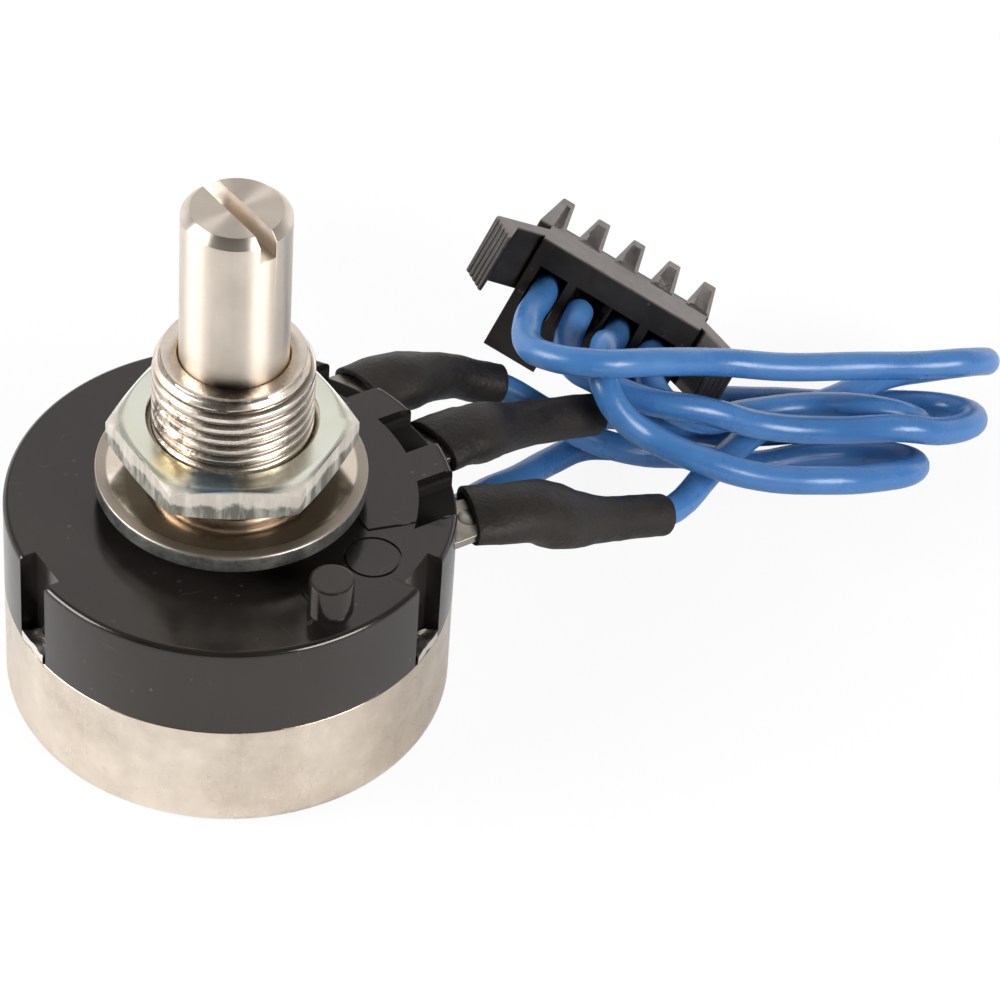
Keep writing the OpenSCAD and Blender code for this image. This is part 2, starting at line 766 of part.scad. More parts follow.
// Hole of one way: a mouth for the wire, a cavity for the contact and a window for its catch
module way(k) {
    translate([way_first + (k - 1) * way_pitch, 0, 0]) {
        translate([-way_w / 2, -1, way_z - way_h / 2]) cube([way_w, mouth_depth + 1, way_h]);
        translate([-contact_w / 2 - contact_fit, 1, way_z - contact_h / 2])
            cube([contact_w + 2 * contact_fit, conn_depth, contact_h + contact_fit]);
        translate([-window_w / 2, window_y, way_z]) cube([window_w, window_d, 1 - way_z]);
    }
}

// Row of teeth along the top, cut off at both ends of the housing
module comb() {
    root = top_depth - 0.1;
    intersection() {
        translate([0, 0, -top_t]) cube([conn_w, comb_depth, top_t]);
        for (i = [0 : len(WIRES)])
            translate([comb_first + i * way_pitch, 0, -top_t])
                linear_extrude(top_t)
                    polygon([[-comb_root_w / 2, root], [comb_root_w / 2, root],
                        [comb_tip_w / 2, comb_depth], [-comb_tip_w / 2, comb_depth]]);
    }
}

module connector() {
    color("#2a2523")
    at_connector()
    difference() {
        union() {
            difference() {
                translate([0, 0, -conn_h]) cube([conn_w, conn_depth, conn_h]);
                translate([foot_w, -1, -conn_h - 1])
                    cube([conn_w - 2 * foot_w, conn_depth + 2, foot_h + 1]);
                translate([-1, top_depth, -top_t]) cube([conn_w + 2, conn_depth, top_t + 1]);
            }
            comb();
            latch_arm();
            translate([conn_w, 0, 0]) mirror([1, 0, 0]) latch_arm();
        }
        for (k = [1 : len(WIRES)]) way(k);
    }
}

// A box socket open towards the front, with a short neck on its wire
module contact(k) {
    back = mouth_depth + 0.2;
    long = conn_depth - 0.2 - back;
    neck = 0.6;
    color("khaki")
    at_connector()
    translate([way_first + (k - 1) * way_pitch, back, way_z]) {
        difference() {
            translate([-contact_w / 2, 0, -contact_h / 2]) cube([contact_w, long, contact_h]);
            translate([-contact_w / 2 + contact_wall, contact_wall, -contact_h / 2 + contact_wall])
                cube([contact_w - 2 * contact_wall, conn_depth, contact_h - 2 * contact_wall]);
        }
        rotate([90, 0, 0]) cylinder(h = neck, d = contact_neck_d, $fn = middle);
    }
}

shaft();
bushing();
hex_nut();
washer();
housing();
rear_cover();
rotor();
wiper();
retaining_ring();
thrust_washer();
resistance_card();
collector_ring();
terminal(1);  // terminal_1
terminal(2);  // terminal_2
terminal(3);  // terminal_3
solder_joint(1);  // solder_joint_1
solder_joint(2);  // solder_joint_2
solder_joint(3);  // solder_joint_3
ground_joint();  // solder_joint_4
sleeve(1);  // sleeve_1
sleeve(2);  // sleeve_2
sleeve(3);  // sleeve_3
wire(1);  // wire_1
wire(2);  // wire_2
wire(3);  // wire_3
wire(4);  // wire_4
connector();
contact(1);  // contact_1
contact(2);  // contact_2
contact(3);  // contact_3
contact(4);  // contact_4
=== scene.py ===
import math

import bmesh
import bpy
from mathutils import Matrix, Vector, noise


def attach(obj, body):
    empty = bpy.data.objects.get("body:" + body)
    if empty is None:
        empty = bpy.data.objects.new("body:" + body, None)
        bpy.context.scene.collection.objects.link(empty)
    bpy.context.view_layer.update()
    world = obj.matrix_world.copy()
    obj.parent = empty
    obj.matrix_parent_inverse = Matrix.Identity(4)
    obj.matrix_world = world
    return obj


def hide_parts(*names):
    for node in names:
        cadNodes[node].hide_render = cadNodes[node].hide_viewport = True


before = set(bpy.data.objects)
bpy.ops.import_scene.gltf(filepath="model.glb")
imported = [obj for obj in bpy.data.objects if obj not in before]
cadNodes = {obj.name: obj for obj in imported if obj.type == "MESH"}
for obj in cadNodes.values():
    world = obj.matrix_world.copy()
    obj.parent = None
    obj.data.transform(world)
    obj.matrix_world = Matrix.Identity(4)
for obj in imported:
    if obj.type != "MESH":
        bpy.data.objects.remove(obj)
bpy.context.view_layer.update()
print("frame loaded:", len(cadNodes), "nodes")

mm = 0.001


# Small tools for selecting and shaping

def deselectAll():
    if bpy.context.object and bpy.context.object.mode != "OBJECT":
        bpy.ops.object.mode_set(mode="OBJECT")
    bpy.ops.object.select_all(action="DESELECT")


def activate(obj):
    deselectAll()
    obj.select_set(True)
    bpy.context.view_layer.objects.active = obj


def applyModifier(obj, kind, **settings):
    activate(obj)
    modifier = obj.modifiers.new(kind.lower(), kind)
    for key, value in settings.items():
        setattr(modifier, key, value)
    bpy.ops.object.modifier_apply(modifier=modifier.name)


def editOperator(obj, *steps):
    activate(obj)
    bpy.ops.object.mode_set(mode="EDIT")
    bpy.ops.mesh.select_all(action="SELECT")
    for operator, settings in steps:
        operator(**settings)
    bpy.ops.object.mode_set(mode="OBJECT")


def settle(obj):
    # the piece's place goes into its mesh
    activate(obj)
    bpy.ops.object.transform_apply(location=True, rotation=True, scale=True)


def smooth(obj, angle=35, flat=True):
    # the large faces lead the shading, so that they look flat up to their soft edges
    activate(obj)
    bpy.ops.object.shade_smooth_by_angle(angle=math.radians(angle))
    if flat:
        applyModifier(obj, "WEIGHTED_NORMAL", keep_sharp=True, weight=90)


def softEdges(obj, width, segments=2, angle=30):
    applyModifier(obj, "BEVEL", width=width, segments=segments, limit_method="ANGLE",
                  angle_limit=math.radians(angle), use_clamp_overlap=True, miter_outer="MITER_ARC")


def combine(obj, other, operation):
    applyModifier(obj, "BOOLEAN", object=other, operation=operation, solver="EXACT")
    bpy.data.objects.remove(other, do_unlink=True)


def turned(name, profile, sides=128, closed=False):
    # a piece turned on the lathe: one ring of points for each (radius, height) in millimetres
    radius, height = profile[0]
    deselectAll()
    bpy.ops.mesh.primitive_circle_add(vertices=sides, radius=radius * mm, location=(0, 0, height * mm),
                                      fill_type="NOTHING" if closed else "NGON")
    obj = bpy.context.object
    obj.name = obj.data.name = name
    settle(obj)
    activate(obj)
    bpy.ops.object.mode_set(mode="EDIT")
    bpy.ops.mesh.select_all(action="SELECT")
    for nextRadius, nextHeight in profile[1:]:
        bpy.ops.mesh.extrude_edges_move() if closed else bpy.ops.mesh.extrude_region_move()
        bpy.ops.transform.resize(value=(nextRadius / radius, nextRadius / radius, 1),
                                 center_override=(0, 0, height * mm))
        bpy.ops.transform.translate(value=(0, 0, (nextHeight - height) * mm))
        radius, height = nextRadius, nextHeight
    if closed:
        bpy.ops.mesh.select_all(action="SELECT")
        bpy.ops.mesh.remove_doubles(threshold=1e-7)
    bpy.ops.mesh.select_all(action="SELECT")
    bpy.ops.mesh.normals_make_consistent(inside=False)
    bpy.ops.object.mode_set(mode="OBJECT")
    return obj


def block(name, size, place, turn=0.0):
    # a box by its size and centre, turned about the shaft's axis
    deselectAll()
    bpy.ops.mesh.primitive_cube_add(size=1, location=[c * mm for c in place])
    obj = bpy.context.object
    obj.name = obj.data.name = name
    obj.scale = [s * mm for s in size]
    settle(obj)
    obj.data.transform(Matrix.Rotation(math.radians(turn), 4, "Z"))
    return obj


def arcPoints(centreR, centreZ, radius, first, last, count):
    return [(centreR + radius * math.cos(math.radians(first + (last - first) * i / count)),
             centreZ + radius * math.sin(math.radians(first + (last - first) * i / count)))
            for i in range(count + 1)]


def dressedCopy(nodeName, name, width, segments=2, angle=30):
    # a clean copy of a CAD piece whose flat faces are whole again and whose edges are broken
    obj = bpy.data.objects.new(name, cadNodes[nodeName].data.copy())
    obj.data.name = name
    bpy.context.scene.collection.objects.link(obj)
    editOperator(obj,
                 (bpy.ops.mesh.remove_doubles, {"threshold": 2e-7}),
                 (bpy.ops.mesh.dissolve_limited, {"angle_limit": math.radians(0.8)}))
    obj.data.materials.clear()
    if width:
        softEdges(obj, width, segments, angle)
    smooth(obj)
    return obj


def dress(obj, material, body, slot, *nodes):
    obj.data.materials.clear()
    obj.data.materials.append(material)
    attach(obj, body)
    if nodes:
        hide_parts(*nodes)


# Camera: where the photograph was taken from

camera = {
    "place": (0.006953, -0.186865, 0.186940),
    "right": (0.99846, 0.00848, 0.05491),
    "up": (-0.04602, 0.67990, 0.73186),
    "along": (0.03113, 0.73326, -0.67924),
    "lens": 165.55,
}


def setCamera():
    data = bpy.data.cameras.new("camera")
    data.lens = camera["lens"]
    data.sensor_width = 36
    data.clip_start = 0.01
    obj = bpy.data.objects.new("camera", data)
    bpy.context.scene.collection.objects.link(obj)
    back = [-c for c in camera["along"]]
    axes = Matrix((camera["right"], camera["up"], back)).transposed().to_4x4()
    obj.matrix_world = Matrix.Translation(camera["place"]) @ axes
    bpy.context.scene.camera = obj


setCamera()

# Routes of the wires, from the soldered end to the connector, in metres
routes = {
    "wire1": [(0.0172, 0.0033, 0.0099), (0.0194, 0.0048, 0.0082), (0.0209, 0.0059, 0.0072),
              (0.0228, 0.0074, 0.0061), (0.0247, 0.0088, 0.0051), (0.0285, 0.0156, 0.0034),
              (0.0320, 0.0200, 0.0030), (0.0355, 0.0217, 0.0033), (0.0389, 0.0248, 0.0027),
              (0.0419, 0.0261, 0.0024), (0.0441, 0.0256, 0.0034), (0.0447, 0.0238, 0.0051),
              (0.0430, 0.0219, 0.0066), (0.0405, 0.0210, 0.0070), (0.0365, 0.0195, 0.0080),
              (0.0320, 0.0185, 0.0085), (0.0280, 0.0176, 0.0094), (0.0240, 0.0153, 0.0112),
              (0.0205, 0.0138, 0.0122), (0.0179, 0.0146, 0.0118), (0.0166, 0.0164, 0.0111),
              (0.0165, 0.0187, 0.0108), (0.0173, 0.0221, 0.0098), (0.0179, 0.0248, 0.0087)],
    "wire2": [(0.0115, 0.0075, 0.0045), (0.0140, 0.0105, 0.0043), (0.0165, 0.0140, 0.0027),
              (0.0185, 0.0171, 0.0014), (0.0205, 0.0188, 0.0011), (0.0230, 0.0193, 0.0009),
              (0.0256, 0.0204, 0.0009), (0.0275, 0.0232, 0.0010), (0.0315, 0.0240, 0.0009),
              (0.0355, 0.0239, 0.0010), (0.0395, 0.0243, 0.0009), (0.0429, 0.0237, 0.0013),
              (0.0441, 0.0212, 0.0027), (0.0420, 0.0183, 0.0042), (0.0389, 0.0169, 0.0055),
              (0.0350, 0.0169, 0.0051), (0.0311, 0.0163, 0.0057), (0.0270, 0.0151, 0.0078),
              (0.0235, 0.0151, 0.0084), (0.0206, 0.0163, 0.0088), (0.0194, 0.0176, 0.0086),
              (0.0190, 0.0193, 0.0087), (0.0195, 0.0213, 0.0090), (0.0201, 0.0240, 0.0079)],
    "wire3": [(0.0103, 0.0142, 0.0101), (0.0121, 0.0157, 0.0090), (0.0136, 0.0164, 0.0081),
              (0.0149, 0.0169, 0.0074), (0.0180, 0.0169, 0.0054), (0.0205, 0.0165, 0.0040),
              (0.0235, 0.0164, 0.0031), (0.0270, 0.0175, 0.0020), (0.0305, 0.0180, 0.0010),
              (0.0340, 0.0191, 0.0009), (0.0379, 0.0195, 0.0010), (0.0400, 0.0181, 0.0019),
              (0.0400, 0.0158, 0.0032), (0.0375, 0.0135, 0.0045), (0.0345, 0.0120, 0.0055),
              (0.0305, 0.0115, 0.0060), (0.0270, 0.0116, 0.0070), (0.0240, 0.0127, 0.0076),
              (0.0222, 0.0131, 0.0088), (0.0211, 0.0143, 0.0101), (0.0210, 0.0167, 0.0106),
              (0.0217, 0.0204, 0.0082), (0.0223, 0.0231, 0.0070)],
    "wire4": [(0.0142, 0.0100, 0.0100), (0.0156, 0.0114, 0.0091), (0.0180, 0.0136, 0.0078),
              (0.0207, 0.0157, 0.0065), (0.0237, 0.0176, 0.0047), (0.0270, 0.0197, 0.0021),
              (0.0305, 0.0210, 0.0009), (0.0339, 0.0212, 0.0012), (0.0381, 0.0221, 0.0009),
              (0.0403, 0.0210, 0.0021), (0.0401, 0.0193, 0.0041), (0.0376, 0.0187, 0.0053),
              (0.0339, 0.0195, 0.0046), (0.0301, 0.0181, 0.0051), (0.0271, 0.0164, 0.0059),
              (0.0252, 0.0165, 0.0067), (0.0241, 0.0178, 0.0073), (0.0239, 0.0196, 0.0074),
              (0.0245, 0.0223, 0.0062)],
}

wire = {"diameter": 0.0017, "roundness": 8, "steps": 6}


def makeWire(name):
    data = bpy.data.curves.new(name, "CURVE")
    data.dimensions = "3D"
    data.bevel_depth = wire["diameter"] / 2
    data.bevel_resolution = wire["roundness"]
    data.resolution_u = wire["steps"]
    data.use_fill_caps = True
    spline = data.splines.new("BEZIER")
    points = routes[name]
    spline.bezier_points.add(len(points) - 1)
    for knot, place in zip(spline.bezier_points, points):
        knot.co = place
        knot.handle_left_type = knot.handle_right_type = "AUTO"
    obj = bpy.data.objects.new(name, data)
    bpy.context.scene.collection.objects.link(obj)
    return obj


wires = {name: makeWire(name) for name in routes}
print("camera and wires placed")


# Shader groups: effects that several finishes share

def newGroup(name, inputs, outputs):
    group = bpy.data.node_groups.new(name, "ShaderNodeTree")
    for label, kind, value in inputs:
        socket = group.interface.new_socket(label, in_out="INPUT", socket_type=kind)
        socket.default_value = value
    for label, kind in outputs:
        group.interface.new_socket(label, in_out="OUTPUT", socket_type=kind)
    start = group.nodes.new("NodeGroupInput")
    end = group.nodes.new("NodeGroupOutput")
    place = group.nodes.new("ShaderNodeTexCoord")
    return group, start, end, place.outputs["Object"]


def addNode(tree, kind, links=None, **settings):
    node = tree.nodes.new(kind)
    for key, value in settings.items():
        setattr(node, key, value)
    for socket, source in (links or {}).items():
        if isinstance(source, bpy.types.NodeSocket):
            tree.links.new(source, node.inputs[socket])
        else:
            node.inputs[socket].default_value = source
    return node


def addMath(tree, operation, first, second=0.0, clamp=False):
    return addNode(tree, "ShaderNodeMath", {0: first, 1: second}, operation=operation, use_clamp=clamp).outputs[0]


def addRange(tree, value, low, high, outLow=0.0, outHigh=1.0):
    node = addNode(tree, "ShaderNodeMapRange", {"Value": value, "From Min": low, "From Max": high,
                                                "To Min": outLow, "To Max": outHigh})
    return node.outputs["Result"]


def addStretch(tree, place, scale):
    return addNode(tree, "ShaderNodeMapping", {"Vector": place, "Scale": scale}).outputs["Vector"]


def addNoise(tree, place, scale, detail=4.0, rough=0.55):
    node = addNode(tree, "ShaderNodeTexNoise", {"Vector": place, "Scale": scale, "Detail": detail,
                                                "Roughness": rough})
    return node.outputs["Fac"]


def mottleGroup():
    # two sizes of cloud, mixed from one colour to another
    group, start, end, place = newGroup(
        "mottle",
        [("Colour", "NodeSocketColor", (0.5, 0.5, 0.5, 1)), ("Stain", "NodeSocketColor", (0.4, 0.4, 0.4, 1)),
         ("Size", "NodeSocketFloat", 300.0), ("Amount", "NodeSocketFloat", 0.5)],
        [("Colour", "NodeSocketColor"), ("Mask", "NodeSocketFloat")])
    big = addNoise(group, place, start.outputs["Size"], 3.0)
    small = addNoise(group, place, addMath(group, "MULTIPLY", start.outputs["Size"], 5.3), 5.0, 0.65)
    both = addMath(group, "ADD", addMath(group, "MULTIPLY", big, 0.65), addMath(group, "MULTIPLY", small, 0.35))
    mask = addRange(group, both, 0.36, 0.64)
    factor = addMath(group, "MULTIPLY", mask, start.outputs["Amount"], clamp=True)
    mix = addNode(group, "ShaderNodeMix", {0: factor, 6: start.outputs["Colour"], 7: start.outputs["Stain"]},
                  data_type="RGBA")
    group.links.new(mix.outputs[2], end.inputs["Colour"])
    group.links.new(mask, end.inputs["Mask"])
    return group


def speckGroup():
    # small pits, dust and dirt, as a mask
    group, start, end, place = newGroup(
        "specks",
        [("Size", "NodeSocketFloat", 900.0), ("Amount", "NodeSocketFloat", 0.1)],
        [("Mask", "NodeSocketFloat")])
    cells = addNode(group, "ShaderNodeTexVoronoi", {"Vector": place, "Scale": start.outputs["Size"],
                                                    "Randomness": 1.0}).outputs["Distance"]
    dots = addRange(group, cells, 0.05, 0.16, 1.0, 0.0)
    where = addNoise(group, place, addMath(group, "MULTIPLY", start.outputs["Size"], 0.31), 2.0)
    gate = addNode(group, "ShaderNodeMapRange", {"Value": where, "From Min": 0.5, "From Max": 0.72})
    mask = addMath(group, "MULTIPLY", dots, gate.outputs["Result"])
    group.links.new(addMath(group, "MULTIPLY", mask, start.outputs["Amount"], clamp=True), end.inputs["Mask"])
    return group


def streakGroup():
    # fine marks drawn out along one direction by the three scales
    group, start, end, place = newGroup(
        "streaks",
        [("Stretch", "NodeSocketVector", (1.0, 1.0, 1.0)), ("Size", "NodeSocketFloat", 1500.0)],
        [("Mask", "NodeSocketFloat")])
    stretched = addNode(group, "ShaderNodeVectorMath", {0: place, 1: start.outputs["Stretch"]},
                        operation="MULTIPLY").outputs["Vector"]
    lines = addNoise(group, stretched, start.outputs["Size"], 6.0, 0.7)
    group.links.new(addRange(group, lines, 0.3, 0.7), end.inputs["Mask"])
    return group


def turningGroup():
    # tool marks round the shaft's axis: rings on a face, hoops on a wall
    group, start, end, place = newGroup(
        "turningMarks",
        [("Pitch", "NodeSocketFloat", 0.0001), ("Uneven", "NodeSocketFloat", 0.5)],
        [("Mask", "NodeSocketFloat")])
    parts = addNode(group, "ShaderNodeSeparateXYZ", {"Vector": place})
    radius = addNode(group, "ShaderNodeVectorMath", {
        0: addNode(group, "ShaderNodeCombineXYZ", {"X": parts.outputs["X"], "Y": parts.outputs["Y"]}).outputs[0]},
        operation="LENGTH").outputs["Value"]
    along = addMath(group, "ADD", radius, parts.outputs["Z"])
    turns = addMath(group, "DIVIDE", along, start.outputs["Pitch"])
    line = addNode(group, "ShaderNodeCombineXYZ", {"X": turns}).outputs[0]
    marks = addNoise(group, line, 1.0, 3.0, 0.6)
    drift = addMath(group, "MULTIPLY", addNoise(group, place, 260.0, 2.0), start.outputs["Uneven"])
    group.links.new(addRange(group, addMath(group, "ADD", marks, drift), 0.3, 1.0), end.inputs["Mask"])
    return group


def patchGroup():
    # one stain: a round place with a ragged edge
    group, start, end, place = newGroup(
        "patch",
        [("Centre", "NodeSocketVector", (0.0, 0.0, 0.0)), ("Radius", "NodeSocketFloat", 0.001),
         ("Ragged", "NodeSocketFloat", 0.4)],
        [("Mask", "NodeSocketFloat")])
    away = addNode(group, "ShaderNodeVectorMath", {0: place, 1: start.outputs["Centre"]},
                   operation="DISTANCE").outputs["Value"]
    share = addMath(group, "DIVIDE", away, start.outputs["Radius"])
    cloud = addMath(group, "SUBTRACT", addNoise(group, place, 1100.0, 4.0, 0.6), 0.5)
    edge = addMath(group, "ADD", share, addMath(group, "MULTIPLY", cloud, start.outputs["Ragged"]))
    group.links.new(addRange(group, edge, 1.0, 0.45), end.inputs["Mask"])
    return group


def axisGroup():
    # distance from the shaft's axis, and height
    group, start, end, place = newGroup(
        "axisPlace", [], [("Radius", "NodeSocketFloat"), ("Height", "NodeSocketFloat")])
    flat = addNode(group, "ShaderNodeVectorMath", {0: place, 1: (1.0, 1.0, 0.0)}, operation="MULTIPLY").outputs[0]
    radius = addNode(group, "ShaderNodeVectorMath", {0: flat}, operation="LENGTH").outputs["Value"]
    height = addNode(group, "ShaderNodeSeparateXYZ", {"Vector": place}).outputs["Z"]
    group.links.new(radius, end.inputs["Radius"])
    group.links.new(height, end.inputs["Height"])
    return group


def scuffGroup():
    # hairline scratches where a warped cloud crosses its middle
    group, start, end, place = newGroup(
        "scuffs", [("Size", "NodeSocketFloat", 150.0), ("Width", "NodeSocketFloat", 0.004)],
        [("Mask", "NodeSocketFloat")])
    cloud = addMath(group, "SUBTRACT", addNoise(group, place, start.outputs["Size"], 1.5, 0.5), 0.5)
    line = addNode(group, "ShaderNodeMapRange", {"Value": addMath(group, "ABSOLUTE", cloud), "From Min": 0.0,
                                                 "From Max": start.outputs["Width"], "To Min": 1.0, "To Max": 0.0})
    where = addNoise(group, place, addMath(group, "MULTIPLY", start.outputs["Size"], 1.7), 2.0)
    group.links.new(addMath(group, "MULTIPLY", line.outputs["Result"], addRange(group, where, 0.53, 0.62)),
                    end.inputs["Mask"])
    return group


groups = {"mottle": mottleGroup(), "specks": speckGroup(), "streaks": streakGroup(), "turning": turningGroup(),
          "patch": patchGroup(), "axis": axisGroup(), "scuffs": scuffGroup()}


def useGroup(tree, name, **inputs):
    links = {key.capitalize(): value for key, value in inputs.items()}
    node = addNode(tree, "ShaderNodeGroup", None, node_tree=groups[name])
    for socket, source in links.items():
        if isinstance(source, bpy.types.NodeSocket):
            tree.links.new(source, node.inputs[socket])
        else:
            node.inputs[socket].default_value = source
    return node


def addPatch(tree, centre, radius, ragged=0.9):
    return useGroup(tree, "patch", centre=[c * mm for c in centre], radius=radius * mm,
                    ragged=ragged).outputs["Mask"]


def mixColour(tree, factor, first, second, blend="MIX"):
    return addNode(tree, "ShaderNodeMix", {0: factor, 6: first, 7: second}, data_type="RGBA",
                   blend_type=blend).outputs[2]


def bumpFrom(tree, height, strength, distance, normal=None):
    links = {"Height": height, "Strength": strength, "Distance": distance}
    if normal:
        links["Normal"] = normal
    return addNode(tree, "ShaderNodeBump", links).outputs["Normal"]


def newMaterial(name, **sockets):
    material = bpy.data.materials.new(name)
    material.use_nodes = True
    tree = material.node_tree
    shader = tree.nodes["Principled BSDF"]
    for socket, value in sockets.items():
        shader.inputs[socket.replace("_", " ")].default_value = value
    return material, tree, shader


def rgb(red, green, blue):
    return (red, green, blue, 1)


# Finishes

# the dark brown serves real pits and dirt and also the painted shadows at the shaft's foot
nickel = {"colour": rgb(0.76, 0.68, 0.59), "stain": rgb(0.68, 0.60, 0.51), "shade": rgb(0.56, 0.49, 0.42),
          "dirtAndShadow": rgb(0.085, 0.062, 0.045), "root": rgb(0.13, 0.095, 0.07), "gold": rgb(0.80, 0.60, 0.34),
          "shaftRoughness": (0.32, 0.44), "bushingRoughness": (0.20, 0.34), "marks": 0.00006}
bushingSizes = {"radius": 4.45, "bore": 3.03, "foot": 9.6, "top": 23.9, "lead": 0.9, "chamfer": 0.5, "pitch": 0.75,
                "depth": 0.22, "groove": 0.60, "threadStart": 0.38, "threadFrom": 14.9, "rows": 14,
                "collar": (5.25, 11.3, 12.5)}


def nickelTone(tree, speckSize, speckAmount):
    tone = useGroup(tree, "mottle", colour=nickel["colour"], stain=nickel["stain"], size=420.0, amount=0.6)
    pits = useGroup(tree, "specks", size=speckSize, amount=speckAmount).outputs["Mask"]
    return mixColour(tree, pits, tone.outputs["Colour"], nickel["dirtAndShadow"]), tone.outputs["Mask"]


def shaftNickel():
    # the fine turning marks draw highlights out along the axis; the foot is darkened by a painted shadow where it
    # leaves the bushing
    material, tree, shader = newMaterial("shaftNickel", Metallic=1.0, Anisotropic=0.9, Anisotropic_Rotation=0.25)
    colour, cloud = nickelTone(tree, 1900.0, 0.35)
    marks = useGroup(tree, "turning", pitch=nickel["marks"], uneven=0.4).outputs["Mask"]
    drawn = useGroup(tree, "streaks", stretch=(1.0, 1.0, 0.03), size=2600.0).outputs["Mask"]
    height = useGroup(tree, "axis").outputs["Height"]
    colour = mixColour(tree, addMath(tree, "MULTIPLY", drawn, 0.12), colour, nickel["shade"])
    colour = mixColour(tree, addRange(tree, height, 33.45 * mm, 33.79 * mm, 0.0, 0.9), colour, nickel["shade"])
    # painted shadow: a dark patch at the foot where the shaft leaves the bushing
    foot = addMath(tree, "MULTIPLY", addPatch(tree, (0.1, -3.0, 23.9), 1.9, 0.7),
                   addRange(tree, height, 24.5 * mm, 23.95 * mm, 0.0, 0.8))
    tree.links.new(mixColour(tree, foot, colour, nickel["dirtAndShadow"]), shader.inputs["Base Color"])
    wear = addMath(tree, "ADD", addMath(tree, "MULTIPLY", cloud, 0.5), addMath(tree, "MULTIPLY", drawn, 0.5))
    tree.links.new(addRange(tree, wear, 0.0, 1.0, *nickel["shaftRoughness"]), shader.inputs["Roughness"])
    tree.links.new(bumpFrom(tree, marks, 0.05, 0.00002), shader.inputs["Normal"])
    tangent = addNode(tree, "ShaderNodeTangent", None, direction_type="RADIAL", axis="Z")
    tree.links.new(tangent.outputs["Tangent"], shader.inputs["Tangent"])
    return material


def bushingNickel():
    # the thread's roots are darker, dirt sits on the left of the thread, and a painted shadow lies on the top before
    # the shaft's foot
    s = bushingSizes
    material, tree, shader = newMaterial("bushingNickel", Metallic=1.0)
    colour, cloud = nickelTone(tree, 1300.0, 0.8)
    place = useGroup(tree, "axis")
    radius, height = place.outputs["Radius"], place.outputs["Height"]
    shoulder = (s["top"] - s["lead"]) * mm
    lean = addMath(tree, "MULTIPLY", addMath(tree, "MAXIMUM", addMath(tree, "SUBTRACT", height, shoulder), 0.0),
                   s["chamfer"] / s["lead"])
    depth = addMath(tree, "SUBTRACT", addMath(tree, "SUBTRACT", s["radius"] * mm, radius), lean)
    wall = addRange(tree, height, (s["top"] - 0.02) * mm, (s["top"] - 0.06) * mm)
    root = addMath(tree, "MULTIPLY", addRange(tree, depth, 0.02 * mm, 0.17 * mm), wall)
    face = addMath(tree, "SUBTRACT", 1.0, wall)
    grime = useGroup(tree, "mottle", colour=rgb(0, 0, 0), stain=rgb(1, 1, 1), size=900.0, amount=1.0)
    crushed = addMath(tree, "MULTIPLY", addPatch(tree, (-3.5, -2.9, 20.6), 2.9, 0.8), grime.outputs["Mask"])
    colour = mixColour(tree, addMath(tree, "MULTIPLY", face, 0.45), colour, nickel["shade"])
    colour = mixColour(tree, addRange(tree, grime.outputs["Mask"], 0.3, 0.9, 0.0, 0.6), colour, nickel["shade"])
    colour = mixColour(tree, addRange(tree, addMath(tree, "MULTIPLY", crushed, wall), 0.35, 0.6, 0.0, 0.85), colour,
                       nickel["dirtAndShadow"])
    colour = mixColour(tree, addMath(tree, "MULTIPLY", root, 0.85), colour, nickel["root"])
    colour = mixColour(tree, addRange(tree, radius, 3.22 * mm, 3.12 * mm, 0.0, 0.8), colour, nickel["gold"])
    # painted shadow on the bushing's top, in front of the shaft's foot
    shadow = addMath(tree, "MULTIPLY", addPatch(tree, (0.1, -3.3, 23.8), 1.7, 0.9), 0.8)
    colour = mixColour(tree, shadow, colour, nickel["dirtAndShadow"])
    tree.links.new(colour, shader.inputs["Base Color"])
    tree.links.new(addRange(tree, cloud, 0.0, 1.0, *nickel["bushingRoughness"]), shader.inputs["Roughness"])
    marks = useGroup(tree, "turning", pitch=nickel["marks"], uneven=0.4).outputs["Mask"]
    dents = addNoise(tree, addNode(tree, "ShaderNodeTexCoord").outputs["Object"], 3200.0, 3.0)
    rough = addMath(tree, "ADD", addMath(tree, "MULTIPLY", marks, 0.25),
                    addMath(tree, "MULTIPLY", dents, addRange(tree, crushed, 0.0, 1.0, 0.35, 2.6)))
    tree.links.new(bumpFrom(tree, rough, 0.35, 0.00004), shader.inputs["Normal"])
    return material


zinc = {"colour": rgb(0.66, 0.665, 0.585), "yellow": rgb(0.74, 0.66, 0.40), "blue": rgb(0.27, 0.35, 0.41),
        "pink": rgb(0.52, 0.43, 0.38), "dark": rgb(0.15, 0.152, 0.128), "flankMetal": 0.45,
        "topRoughness": (0.17, 0.26), "flankRoughness": (0.36, 0.56),
        # middle of the faces, where the flanks end, the yellow stain on the top, and the blue and grey painted
        # reflection at the top's front: place and radius
        "flankTop": 18.98, "seam": 18.0, "yellowAt": (-3.0, -4.2, 19.2), "blueReflectionAt": (-0.6, -5.5, 19.1),
        "greyReflectionAt": (1.6, -5.4, 19.1)}


nutUnder = 16.95


